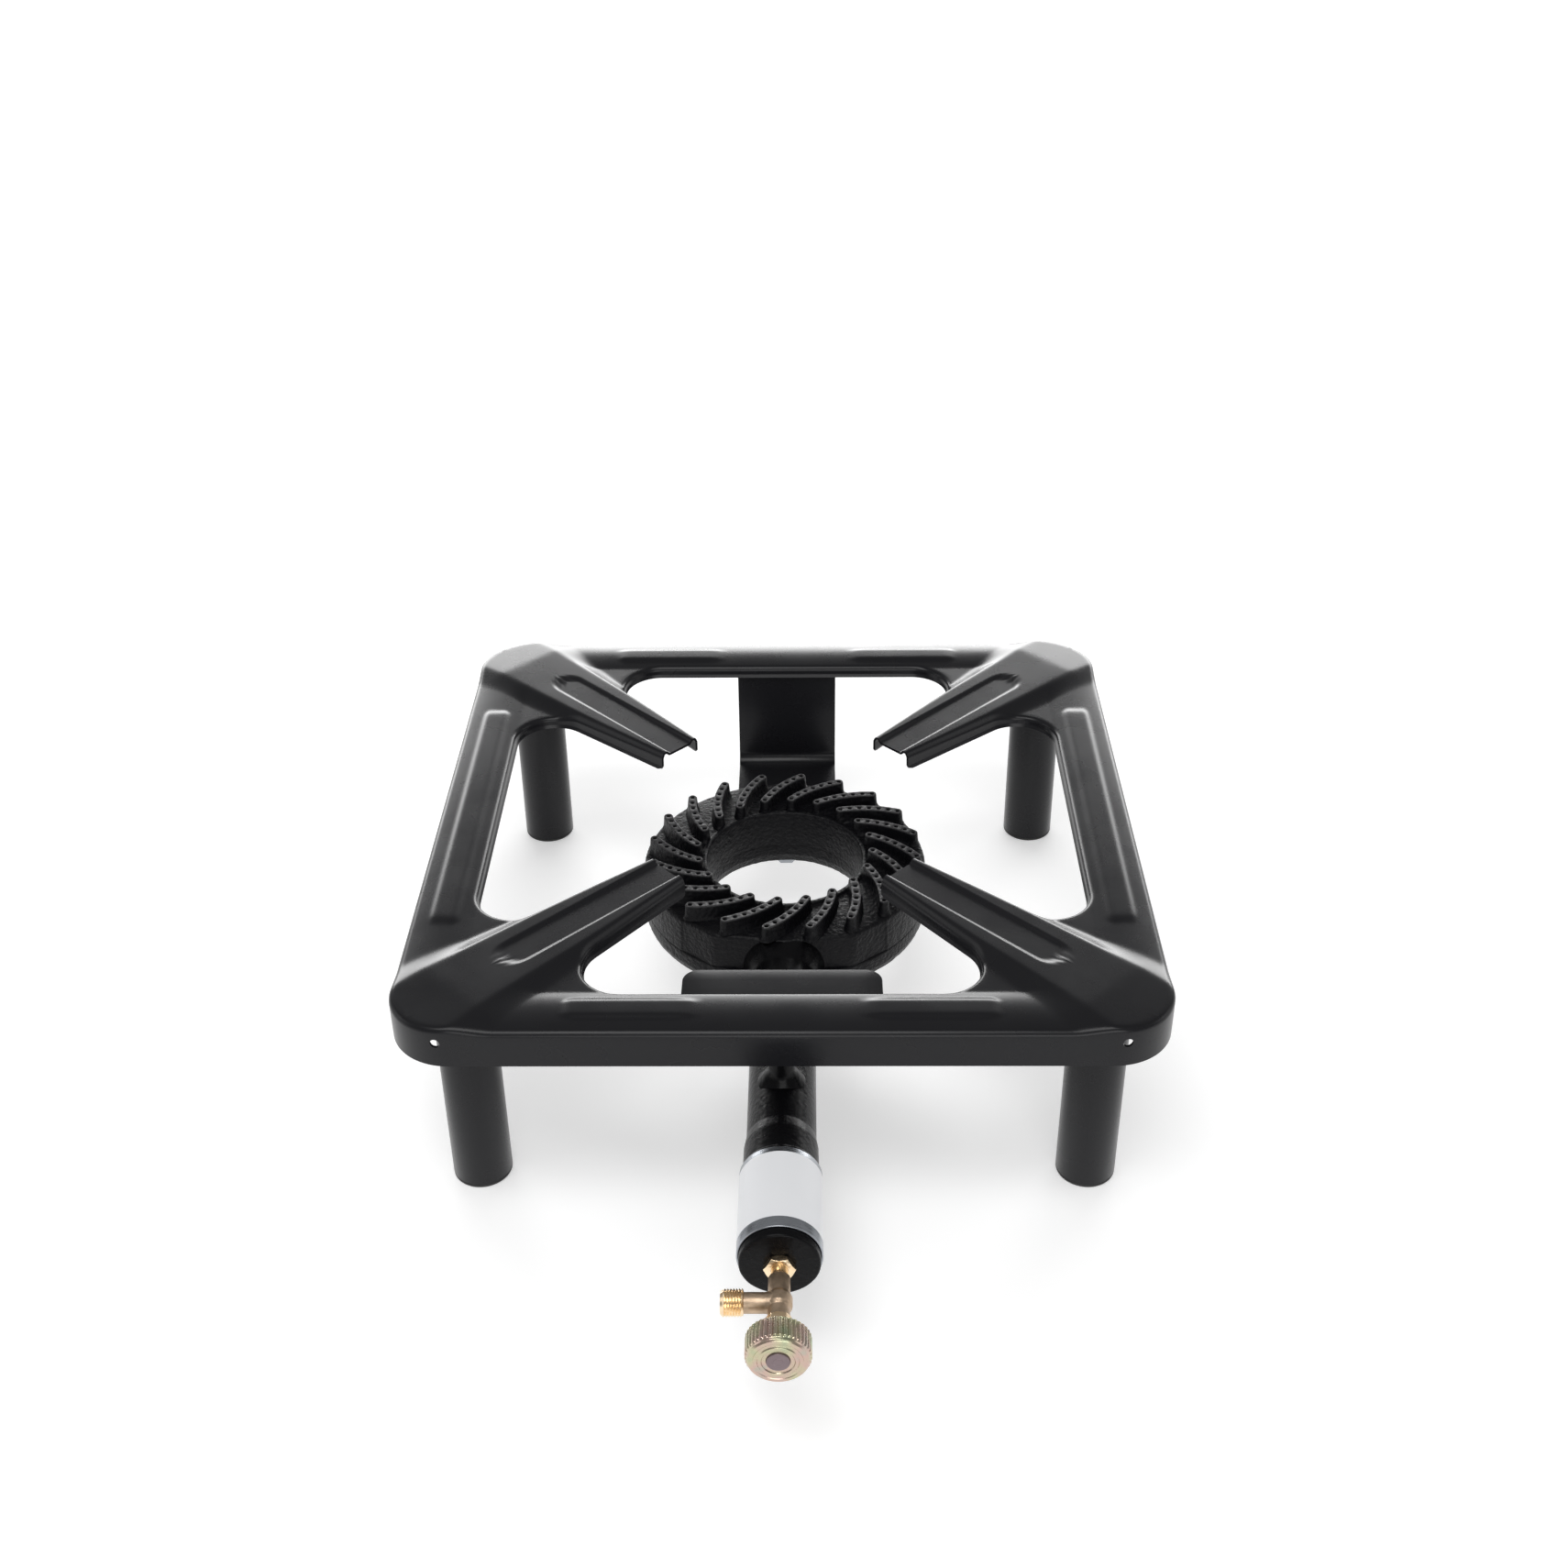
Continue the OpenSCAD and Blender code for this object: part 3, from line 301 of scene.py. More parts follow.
def casting(ridge_top):
    """Rough black casting with paler ridge tops: partly rubbed wear, partly a painted highlight on the
    upward-facing tops.
    """
    # dark is the casting's own black; the pale ridge-top colour is partly rubbed wear and partly painted
    # highlight
    dark, rubbed_and_highlight = (0.0035, 0.0035, 0.0045), (0.060, 0.059, 0.061)
    material, shader = new_material("rough_casting", (0.005, 0.005, 0.006), 0.42, specular=0.17)
    nodes, links = material.node_tree.nodes, material.node_tree.links
    place = nodes.new("ShaderNodeTexCoord")
    split = nodes.new("ShaderNodeSeparateXYZ")
    links.new(place.outputs["Object"], split.inputs["Vector"])
    height = nodes.new("ShaderNodeMapRange")
    height.inputs["From Min"].default_value = (ridge_top - 0.9) * MM
    height.inputs["From Max"].default_value = (ridge_top - 0.1) * MM
    links.new(split.outputs["Z"], height.inputs["Value"])
    speckle = noise_node(material, 600, detail=5)
    # the paler ridge tops: height mask times speckle, partly rubbed wear and partly painted highlight
    wear_and_highlight = nodes.new("ShaderNodeMath")
    wear_and_highlight.operation = "MULTIPLY"
    links.new(height.outputs["Result"], wear_and_highlight.inputs[0])
    links.new(speckle, wear_and_highlight.inputs[1])
    color = ramp(material, wear_and_highlight.outputs["Value"], [(0.0, dark), (0.75, rubbed_and_highlight)])
    links.new(color, shader.inputs["Base Color"])
    vary_roughness(material, shader, speckle, low=0.26, high=0.48)
    bump(material, shader, noise_node(material, 420, detail=6), strength=0.85, distance=0.0012)
    return material


def zinc():
    material, shader = new_material("zinc_plate", (0.38, 0.40, 0.43), 0.28, metallic=1.0)
    streaks = noise_node(material, 90, detail=3, stretch=(1, 14, 1))
    vary_roughness(material, shader, streaks, low=0.20, high=0.38)
    bump(material, shader, noise_node(material, 300, detail=3), strength=0.12, distance=0.0002)
    return material


def brass(name, dark, light, roughness, grain):
    material, shader = new_material(name, light, roughness, metallic=1.0)
    color = ramp(material, noise_node(material, 160), [(0.3, dark), (0.7, light)])
    material.node_tree.links.new(color, shader.inputs["Base Color"])
    bump(material, shader, noise_node(material, grain, detail=5), strength=0.4, distance=0.0004)
    return material


def passivated():
    """Yellow chromate over zinc: the hue drifts between green, gold and rose."""
    material, shader = new_material("yellow_passivate", (0.6, 0.62, 0.4), 0.25, metallic=1.0)
    color = ramp(material, noise_node(material, 70, detail=2), [
        (0.30, (0.30, 0.42, 0.28)), (0.46, (0.54, 0.51, 0.34)), (0.60, (0.58, 0.42, 0.36)),
        (0.74, (0.38, 0.46, 0.38))])
    material.node_tree.links.new(color, shader.inputs["Base Color"])
    vary_roughness(material, shader, noise_node(material, 240), low=0.18, high=0.34)
    return material


def plain(name, color, roughness, strength=0.15, metallic=0.0):
    material, shader = new_material(name, color, roughness, metallic)
    bump(material, shader, noise_node(material, 500, detail=3), strength, distance=0.0003)
    return material


# ------------------------------------------------------------------ pressed top frame
# (a, b): a is the distance from the middle towards a rail, b runs along the rail.
# s runs along the diagonal, t across it.
R2 = math.sqrt(2)
RAIL_W = 34
CORNER_R = 33
SHOULDER_R = 3      # the fold's radius at the outer edge and at the windows
SHEET_T = 1.5
ARM_H = 4.8         # the pads' and arms' height over the rails
EDGE_Z = PLATEAU_Z - ARM_H
CROWN_H = 1.9
LIP_W = 1
LIP_DROP = 6.5
LIP_Z = EDGE_Z - LIP_DROP
LIP_A = HALF - RAIL_W
RAIL_MID = HALF - RAIL_W / 2
CORNER_S = (HALF - CORNER_R) * R2 + CORNER_R
LEG_INSET = 36
CREASE_S = (HALF - LEG_INSET) * R2 + 6
PAD_SLOPE = 0.09
PAD_S = 171         # where an arm widens into its pad
ARM_SPREAD, PAD_SPREAD = 0.075, 0.05
FLANK_W, FLANK_MORE, FLANK_FULL_S = 8, 7, CORNER_S - 23
TIP_S = 90.85
TIP_HALF = 15.5
TIP_FLANK = 2.7
TAPER = 0.1
TIP_CORNER_R = 3
TIP_CORNER_FADE = 8
BEAD_H, BEAD_W, BEAD_IN, BEAD_REACH, BEAD_GAP = 2.9, 10.5, 18.25, 112, 40
BEAD_SIDE_FALL, BEAD_END_FALL, BEAD_END_EASE, BEAD_GAP_EASE = 0.45, 0.4, 4, 6
GROOVE_HALF, GROOVE_DEPTH, GROOVE_END, GROOVE_EDGE = 9, 2.2, 205, 2.8
GROOVE_FADE = 0.45  # the share of its depth that a groove loses towards the pad
WINDOW_R = 22
SKIRT_HOLE_D = 5
SKIRT_HOLE_X = 172.5
SKIRT_HOLE_DROP = 6.3
# the points along one eighth of a window, and the rows from its lip to the skirt's foot
RAIL_STATIONS, EDGE_STATIONS, CORNER_STATIONS, PAD_STATIONS, ARM_STATIONS = 22, 26, 12, 30, 24
LIP_ROWS = ((0, 0), (0.3, 0.8), (0.75, 1.5), (0.97, 2.2))
FOLD_ROWS, FACE_ROWS = 8, 33
EDGE_ROWS = (2.3, 1.6, 1.0, 0.5, 0.18, 0.04)
SKIRT_ROWS = (0.8, 0.55, 0.3, 0.1, 0.0)


def ease(x):
    u = np.clip(x, 0, 1)
    return u * u * (3 - 2 * u)


def soft_plus(x, k):
    """max(x, 0) with its corner rounded over a width of about k."""
    return (x + np.sqrt(x * x + k * k)) / 2


def soft_max(p, q, k):
    return q + soft_plus(p - q, k)


def plateau_half(s):
    """Half the width of an arm's or pad's flat top."""
    return TIP_HALF - TIP_FLANK + ARM_SPREAD * (np.minimum(s, PAD_S) - TIP_S) \
        + PAD_SPREAD * np.maximum(0, s - PAD_S)


def flank_foot(s):
    """How far from the diagonal an arm's or pad's flank meets the rail."""
    return plateau_half(s) + FLANK_W + FLANK_MORE * np.clip((s - PAD_S) / (FLANK_FULL_S - PAD_S), 0, 1)


def top_height(a, b, gapped):
    """Height of the sheet's upper side without its folded edges."""
    s, t = (a + b) / R2, np.abs(a - b) / R2
    crown = EDGE_Z + CROWN_H * (1 - np.minimum(1, np.abs(a - RAIL_MID) / (RAIL_W / 2 - 1)) ** 2)
    bead = EDGE_Z + BEAD_H - BEAD_SIDE_FALL * soft_plus(np.abs(a - HALF + BEAD_IN) - BEAD_W / 2, 1.0) \
        - BEAD_END_FALL * soft_plus(b - BEAD_REACH + BEAD_END_EASE, 2.0)
    if gapped:
        bead = bead - BEAD_END_FALL * soft_plus(BEAD_GAP + BEAD_GAP_EASE - b, 2.0)
    low = soft_max(bead, crown, 0.25)
    plateau = PLATEAU_Z - PAD_SLOPE * soft_plus(s - CREASE_S, 1.5)
    foot, edge = flank_foot(s), plateau_half(s)
    rise = np.clip((foot - t) / (foot - edge), 0, 2) ** 1.5
    u = 1 - soft_plus(1 - rise, 0.12)
    centre = GROOVE_END - GROOVE_HALF
    q = np.where(s < centre, t, np.hypot(t, s - centre))
    depth = GROOVE_DEPTH * (1 - GROOVE_FADE * np.clip((s - TIP_S) / (GROOVE_END - TIP_S), 0, 1))
    return low + (plateau - low) * u - depth * ease((GROOVE_HALF - q) / GROOVE_EDGE + 0.5)


def edge_drop(a, b):
    """How far the folded outer edge falls below the surface."""
    c = HALF - CORNER_R
    e = np.where((a > c) & (b > c), CORNER_R - np.hypot(a - c, b - c), HALF - a)
    e = np.clip(e, 0, SHOULDER_R)
    return SHOULDER_R - np.sqrt(SHOULDER_R ** 2 - (SHOULDER_R - e) ** 2)


def frame_stations():
    """Window points and the points opposite them, from the rail's middle to the arm's tip,
    with the number of the station at the corner. (fa, fb) is the window fillet's middle."""
    norm = math.sqrt(1 + TAPER ** 2)
    fa = LIP_A - WINDOW_R
    fb = (fa * (1 - TAPER) / R2 - TIP_HALF + TAPER * TIP_S - WINDOW_R * norm) * R2 / (1 + TAPER)
    end = math.atan2(1 + TAPER, TAPER - 1)
    start = fa + fb
    on_arc = np.array([fa, fb]) + WINDOW_R * np.array([math.cos(end), math.sin(end)])
    lam = (fa - fb) / (math.sin(end) - math.cos(end))
    arm_start = (start + lam * (math.cos(end) + math.sin(end))) / R2
    straight = HALF - CORNER_R

    def arc_point(q):
        w = math.atan2(q[1] - fb, q[0] - fa)
        return [fa + WINDOW_R * math.cos(w), fb + WINDOW_R * math.sin(w)]

    pairs = [([LIP_A, b], [HALF, b]) for b in np.linspace(0, fb, RAIL_STATIONS)]
    outer = [[HALF, b] for b in np.linspace(fb, straight, EDGE_STATIONS)[1:]]
    outer += [[straight + CORNER_R * math.cos(w), straight + CORNER_R * math.sin(w)]
              for w in np.linspace(0, math.pi / 4, CORNER_STATIONS)[1:]]
    corner = len(pairs) + len(outer) - 1
    inner = [CORNER_S - d for d in (0.25, 0.8, 1.6, 2.4, 3.0)]
    inner += list(np.linspace(CORNER_S - 3, arm_start, PAD_STATIONS)[1:])
    outer += [[s / R2, s / R2] for s in inner]
    pairs += [(arc_point(q), q) for q in outer]
    pairs[-1] = (list(on_arc), [arm_start / R2, arm_start / R2])
    for s in np.linspace(arm_start, TIP_S, ARM_STATIONS)[1:]:
        t = TIP_HALF + TAPER * (s - TIP_S)
        pairs.append(([(s + t) / R2, (s - t) / R2], [s / R2, s / R2]))
    return np.array([p[0] for p in pairs]), np.array([p[1] for p in pairs]), corner


def frame_octant(window, outer, corner, gapped):
    """Rows of points over one eighth, with the faces between them."""
    length = np.linalg.norm(outer - window, axis=1)

    def plan(d):
        return window + (outer - window) * (np.minimum(d, length) / length)[:, None]

    def row(d, z_rule):
        p = plan(np.broadcast_to(d, length.shape))
        return np.column_stack([p, z_rule(p[:, 0], p[:, 1])])

    def surface(a, b):
        return top_height(a, b, gapped) - edge_drop(a, b)

    def lip_row(d, z):
        """A row of the lip, drawn back from the arm's open tip so that its lower corner is round."""
        points = row(d, lambda a, b: np.full(len(a), LIP_Z + z))
        s = (window[:, 0] + window[:, 1]) / R2
        back = TIP_CORNER_R - math.sqrt(TIP_CORNER_R ** 2 - (TIP_CORNER_R - z) ** 2)
        shift = back * np.clip(1 - (s - TIP_S) / TIP_CORNER_FADE, 0, 1)
        points[:, 0] += shift * (1 + TAPER) / R2
        points[:, 1] += shift * (1 - TAPER) / R2
        return points

    rows = [lip_row(d, z) for d, z in LIP_ROWS]
    fold = SHOULDER_R
    for w in np.linspace(0, math.pi / 2, FOLD_ROWS):
        rows.append(row(LIP_W + fold - fold * math.cos(w),
                        lambda a, b, w=w: top_height(a, b, gapped) - fold + fold * math.sin(w)))
    free = length - LIP_W - fold - SHOULDER_R
    for f in np.linspace(0, 1, FACE_ROWS)[1:]:
        rows.append(row(LIP_W + fold + f * free, surface))
    for d in EDGE_ROWS:
        rows.append(row(length - d, surface))
    rows.append(row(length, surface))
    open_rows = len(rows)
    for z in SKIRT_ROWS:
        rows.append(row(length, lambda a, b, z=z: SKIRT_Z + (surface(a, b) - SKIRT_Z) * z))
    count = len(length)
    faces = []
    for i in range(len(rows) - 1):
        last = count - 1 if i < open_rows - 1 else corner
        for j in range(last):
            k = i * count + j
            faces.append([k, k + 1, k + count + 1, k + count])
    return np.concatenate(rows), faces


def drop_loose_points(obj):
    used = {v for f in obj.data.polygons for v in f.vertices}
    bm = bmesh.new()
    bm.from_mesh(obj.data)
    bm.verts.ensure_lookup_table()
    bmesh.ops.delete(bm, geom=[v for v in bm.verts if v.index not in used], context="VERTS")
    bm.to_mesh(obj.data)
    bm.free()


def build_top_frame():
    """Eight mirrored eighths; the front and rear rails' beads have a gap in the middle."""
    window, outer, corner = frame_stations()
    points, faces = [], []
    for octant in range(8):
        gapped = (octant // 2) % 2 == 1
        p, f = frame_octant(window, outer, corner, gapped)
        a, b, z = p[:, 0], p[:, 1] * (1 if octant % 2 == 0 else -1), p[:, 2]
        x, y = [(a, b), (-b, a), (-a, -b), (b, -a)][octant // 2]
        start = sum(len(q) for q in points)
        points.append(np.column_stack([x, y, z]))
        faces += [[start + k for k in (q if octant % 2 == 0 else q[::-1])] for q in f]
    obj = solid("top_sheet", np.concatenate(points), faces, weld=0.01)
    drop_loose_points(obj)
    if sum(f.normal.z * f.area for f in obj.data.polygons) < 0:
        obj.data.flip_normals()
    solidify(obj, SHEET_T)
    r = SKIRT_HOLE_D / 2
    holes = [lathe("hole", [(0, -4), (r, -4), (r, 4), (0, 4)],
                   "y", (x, -HALF, EDGE_Z - SKIRT_HOLE_DROP), 32, closed=False)
             for x in (-SKIRT_HOLE_X, SKIRT_HOLE_X)]
    cut(obj, *holes)
    return dress(obj, ENAMEL, "stand", "black_enamel", "top_frame", sharp=50)


# ------------------------------------------------------------------ legs, strap and front plate
LEG_D = 31.8
LEG_WALL = 1.5
WELD_LUMPS = 26
CAP_RIM = 2.2
CAP_WALL = 1.5
STRAP_T, STRAP_BEND = 2.5, 7.5
PLATE_T, PLATE_R = 2, 9


def build_leg(node, seed):
    low, high = local_box(node)
    x, y = (low[0] + high[0]) / 2, (low[1] + high[1]) / 2
    r = LEG_D / 2
    profile = rounded([(r - LEG_WALL, low[2], 0.3), (r, low[2], 0.4), (r, high[2], 0.4),
                       (r - LEG_WALL, high[2], 0.3)], 3, closed=True)
    tube = lathe(node + "_tube", profile, "z", (x, y, 0), 96)

    def beads(radius, h, angles):
        lumps = 0.5 + 0.5 * np.cos(angles * WELD_LUMPS + seed)
        return radius + (radius - r) * 0.35 * lumps

    ring = [(r - 0.3, high[2] - 3.4), (r + 0.9, high[2] - 2.9), (r + 1.9, high[2] - 1.5),
            (r + 2.6, high[2] - 0.1), (r - 0.3, high[2] - 0.05)]
    weld = lathe(node + "_weld", ring, "z", (x, y, 0), 156, shape=beads)
    leg = join(node + "_welded", [tube, weld])
    return dress(leg, ENAMEL, "stand", "black_enamel", node, sharp=45)


def build_leg_caps():
    low, high = local_box("leg_caps")
    reach = HALF - LEG_INSET
    r, plug = LEG_D / 2, LEG_D / 2 - LEG_WALL - 0.05
    profile = rounded([
        (0, low[2], 0), (r - 0.2, low[2], 1.1), (r, CAP_RIM - 0.1, 0.5), (plug, CAP_RIM - 0.05, 0),
        (plug, high[2], 0.6), (plug - CAP_WALL, high[2], 0.4), (plug - CAP_WALL, CAP_RIM, 0.5),
        (0, CAP_RIM, 0)], 4)
    parts = [lathe("cap", profile, "z", (x * reach, y * reach, 0), 80, closed=False)
             for x in (-1, 1) for y in (-1, 1)]
    return dress(join("foot_caps", parts), CAP_PLASTIC, "stand", "black_plastic", "leg_caps", sharp=45)


def build_strap():
    low, high = local_box("rear_bracket")
    t = STRAP_T
    outline = rounded([
        (high[1] - t, high[2], 0), (high[1] - t, low[2] + t, STRAP_BEND), (low[1], low[2] + t, 0),
        (low[1], low[2], 0), (high[1], low[2], STRAP_BEND + t), (high[1], high[2], 0)], 10)
    strap = prism("strap_bent", outline, low[0], high[0], lambda u, v, w: (w, u, v))
    bevel(strap, 0.4)
    return dress(strap, ENAMEL, "stand", "black_enamel", "rear_bracket")


def build_front_plate():
    low, high = local_box("front_plate")
    t = PLATE_T
    outline = rounded([(low[0], low[1], 0), (high[0], low[1], 0), (high[0], high[1], PLATE_R),
                       (low[0], high[1], PLATE_R)], 10, closed=True)
    flat = prism("plate_flat", outline, low[2], low[2] + t, lambda u, v, w: (u, v, w))
    lip = prism("plate_lip", rounded([(low[1], low[2] + t, 0), (low[1] + t, low[2] + t, 0),
                                      (low[1] + t, high[2], 0), (low[1], high[2], 0)], closed=True),
                low[0], high[0], lambda u, v, w: (w, u, v))
    bevel(flat, 0.35)
    plate = join("front_shelf", [flat, lip])
    return dress(plate, ENAMEL, "stand", "black_enamel", "front_plate")


# ------------------------------------------------------------------ burner
base_low, base_high = local_box("burner_base")
BURNER_Y = base_high[1] - (base_high[0] - base_low[0]) / 2
BURNER_R = (base_high[0] - base_low[0]) / 2
BURNER_Z = base_low[2]
SPLIT_Z = base_high[2]
HOLE_R = 46
HOLE_RIM_H = 1.6
RIDGE_TOP_Z = 97.0
RIDGE_H = 8.5
PLATE_TOP_Z = RIDGE_TOP_Z - RIDGE_H
RIDGE_W = 5.3
RIDGES, PORTS, PORT_D = 20, 7, 2.6
RIDGE_IN, RIDGE_OUT, RIDGE_TURN, RIDGE_CURVE, RIDGE_PHASE = 52, 78, 21, 64, 14
# corners of the flats: distance to the side of the burner's middle, and in front of it
FACETS = [(0, BURNER_R - 3.5), (40, BURNER_R - 9.8), (58, BURNER_R - 24), (90, BURNER_R - 16)]


def head_radius(angle):
    """Outer radius of the head: a circle with flats on both sides of the tube."""
    r = BURNER_R
    x, y = abs(math.cos(angle)), math.sin(angle)
    if y < 0:
        for (x0, y0), (x1, y1) in zip(FACETS, FACETS[1:]):
            dx, dy = x1 - x0, y0 - y1
            det = x * dy - y * dx
            if abs(det) > 1e-9:
                hit = (x0 * dy + y0 * dx) / det
                on_flat = x0 - 1e-6 <= x * hit <= x1 + 1e-6
                if on_flat and 0 < hit < r:
                    r = hit
    return r


def build_head_shell():
    edges = [math.atan2(-y, s * x) for x, y in FACETS[:3] for s in (-1, 1)]
    angles = sorted(set(np.round(np.linspace(0, 2 * math.pi, 240, endpoint=False), 6))
                    | {round((w + d) % (2 * math.pi), 6) for w in edges for d in (-0.012, 0, 0.012)})
    top = PLATE_TOP_Z
    inner = rounded([
        (HOLE_R, SPLIT_Z + 0.2, 0), (HOLE_R, top + HOLE_RIM_H, 1.3), (HOLE_R + 3, top + HOLE_RIM_H, 1.2),
        (HOLE_R + 3.6, top, 0.5), (HOLE_R + 8, top, 0)], 4)
    # distance in from the outer edge, and height
    outer = rounded([
        (14, top - 0.1, 0), (0.9, top - 0.9, 2.2), (0.1, SPLIT_Z + 4, 0), (0, SPLIT_Z + 0.2, 0)], 5)
    pts, columns = [], len(angles)
    radius = np.array([head_radius(w) for w in angles])
    cos, sin = np.cos(angles), np.sin(angles)
    for r, z in inner:
        pts.append(np.column_stack([r * cos, r * sin + BURNER_Y, np.full(columns, z)]))
    for e, z in outer:
        r = radius - e
        pts.append(np.column_stack([r * cos, r * sin + BURNER_Y, np.full(columns, z)]))
    faces = grid_faces(len(inner) + len(outer), columns, close_rows=True)
    return roughen(solid("head_shell", np.concatenate(pts), faces), 0.22, 3.0, seed=1)


def ridge_curve():
    """The arc that a ridge follows: its centre and the angles of its inner and outer end."""
    a = np.array([RIDGE_IN, 0.0])
    w = math.radians(RIDGE_TURN)
    b = RIDGE_OUT * np.array([math.cos(w), -math.sin(w)])
    chord = np.linalg.norm(b - a)
    d = (b - a) / chord
    centre = (a + b) / 2 + np.array([d[1], -d[0]]) * math.sqrt(RIDGE_CURVE ** 2 - (chord / 2) ** 2)
    w0 = math.atan2(*(a - centre)[::-1])
    w1 = math.atan2(*(b - centre)[::-1])
    return centre, w0, w1


def ridge_points():
    """One ridge along a straight line (u along, v across, z up), with a hole for each port."""
    w0, w1 = ridge_curve()[1:]
    length = abs(w1 - w0) * RIDGE_CURVE
    pitch = length / (PORTS - 1)
    half = RIDGE_W / 2
    hole = PORT_D / 2
    top = RIDGE_H
    # distance in from the ridge's side, and height
    wall = [(0.7, top), (0.25, top - 0.12), (0.05, top - 0.4), (-0.05, top - 0.9), (-0.35, top * 0.5),
            (-0.7, 0.9), (-1.3, 0.1), (-1.6, -0.6)]
    rows = [(hole, -3.0), (hole, top - 0.35), (hole + 0.28, top)]
    pts, faces = [], []

    def round_end(low_angle, high_angle):
        return [(half * math.cos(w), half * math.sin(w))
                for w in np.linspace(low_angle, high_angle, 11)[1:-1]]

    for port in range(PORTS):
        u0 = port * pitch
        first, last = port == 0, port == PORTS - 1
        right = 0 if last else pitch / 2
        left = 0 if first else -pitch / 2
        loop = [(u, half) for u in np.linspace(right, left, 6)]
        if first:
            loop += round_end(math.pi / 2, 3 * math.pi / 2)
        else:
            loop += [(left, v) for v in np.linspace(half, -half, 6)[1:-1]]
        loop += [(u, -half) for u in np.linspace(left, right, 6)]
        if last:
            loop += round_end(-math.pi / 2, math.pi / 2)
        else:
            loop += [(right, v) for v in np.linspace(-half, half, 6)[1:-1]]
        n = len(loop)
        outline = []        # whether the step from point k on is a side of the ridge
        for k in range(n):
            ua, ub = loop[k][0], loop[(k + 1) % n][0]
            on_border = (not last and ua == ub == right) or (not first and ua == ub == left)
            outline.append(not on_border)

        def shrink(u, v, d):
            f = (half - d) / half
            if (first and u < 0) or (last and u > 0):
                return u * f, v * f
            return u, v * f

        start = len(pts)
        for r, z in rows:
            for u, v in loop:
                w = math.atan2(v, u)
                pts.append((u0 + r * math.cos(w), r * math.sin(w), z))
        for d, z in wall:
            for u, v in loop:
                us, vs = shrink(u, v, d)
                pts.append((u0 + us, vs, z))
        faces.append([start + k for k in range(n)])
        for i in range(len(rows) + len(wall) - 1):
            for k in range(n):
                if i < len(rows) or outline[k]:
                    k1 = (k + 1) % n
                    faces.append([start + i * n + k, start + i * n + k1,
                                  start + (i + 1) * n + k1, start + (i + 1) * n + k])
    return np.array(pts), faces, length


def build_ridges():
    local, faces, length = ridge_points()
    centre, w0, w1 = ridge_curve()
    w = w0 + (w1 - w0) * local[:, 0] / length
    r = RIDGE_CURVE + local[:, 1]
    flat = np.column_stack([centre[0] + r * np.cos(w), centre[1] + r * np.sin(w)])
    used = sorted({i for f in faces for i in f})
    index = {old: new for new, old in enumerate(used)}
    used_faces = [[index[i] for i in f] for f in faces]
    parts = []
    for k in range(RIDGES):
        turn = math.radians(RIDGE_PHASE + 360 / RIDGES * k)
        c, s = math.cos(turn), math.sin(turn)
        xy = flat @ np.array([[c, s], [-s, c]])
        pts = np.column_stack([xy[:, 0], xy[:, 1] + BURNER_Y, local[:, 2] + PLATE_TOP_Z])
        ridge = solid(f"ridge_{k}", pts[used], used_faces)
        parts.append(roughen(ridge, 0.10, 2.2, seed=k))
    return join("ridge_ring", parts)


TUBE_Z = 67.0
TUBE_END_Y = local_box("burner_head")[0][1]
LAND_D = 39.4
LAND_RELIEF = 0.1   # room for the casting's relief under the sleeve
NECK_R = 17.7
SLEEVE_BACK, SLEEVE_L = 5, 53
WINDOW_ANGLE, WINDOW_L, WINDOW_PITCH = 46, 26, 100
BOSS_Y = TUBE_END_Y + 112.5
BOSS_D = 13.6


def air_cutters(radius):
    """Wedges for the two air windows in the lower side."""
    cutters = []
    middle = TUBE_END_Y + SLEEVE_BACK + SLEEVE_L / 2
    for side in (-1, 1):
        w = math.radians(-90 + side * WINDOW_PITCH / 2)
        h = math.radians(WINDOW_ANGLE / 2)
        inside, outside = radius * 0.55, radius * 1.5
        corners = [(inside, w - h), (outside, w - h), (outside, w + h), (inside, w + h)]
        outline = rounded([(r * math.cos(q), r * math.sin(q), 0) for r, q in corners], closed=True)
        cutters.append(prism("window", outline, middle - WINDOW_L / 2, middle + WINDOW_L / 2,
                             lambda u, v, y: (u, y, v + TUBE_Z)))
    return cutters


def build_tube():
    rear = SLEEVE_BACK + SLEEVE_L
    land = LAND_D / 2 - LAND_RELIEF
    length = BURNER_Y - (BURNER_R - 10) - TUBE_END_Y
    profile = rounded([
        (5.95, 0, 0), (land, 0, 1.4), (land, SLEEVE_BACK + 6, 0.5), (land - 0.8, SLEEVE_BACK + 7.2, 0.5),
        (land - 0.8, rear - 7.2, 0.5), (land, rear - 6, 0.5), (land, rear + 1.6, 0.6),
        (land - 0.6, rear + 3, 0.8), (land - 0.8, rear + 18, 6), (NECK_R, rear + 25, 8),
        (NECK_R, length - 15, 10), (NECK_R + 6.5, length, 0), (NECK_R + 6.5, length + 3, 0),
        (13.5, length + 3, 0), (13.5, 5, 1), (5.95, 5, 0)], 5, closed=True)

    def mould(radius, h, angles):
        # two faint mould lines along the top
        line = np.exp(-((angles - math.pi / 2 - 0.075) / 0.012) ** 2) \
            + np.exp(-((angles - math.pi / 2 + 0.075) / 0.012) ** 2)
        extra = 0.22 * line if rear + 4 < h < length - 20 else 0
        return radius + np.where(radius > 16, extra, 0)

    tube = lathe("mixing_tube", profile, "y", (0, TUBE_END_Y, TUBE_Z), 192, shape=mould)
    for v in tube.data.vertices:
        # the flared end stays under the burner's top plate
        v.co.z = min(v.co.z, (PLATE_TOP_Z - 0.6) * MM)
    roughen(tube, 0.10, 6.0, seed=2)
    return cut(tube, *air_cutters(LAND_D / 2))


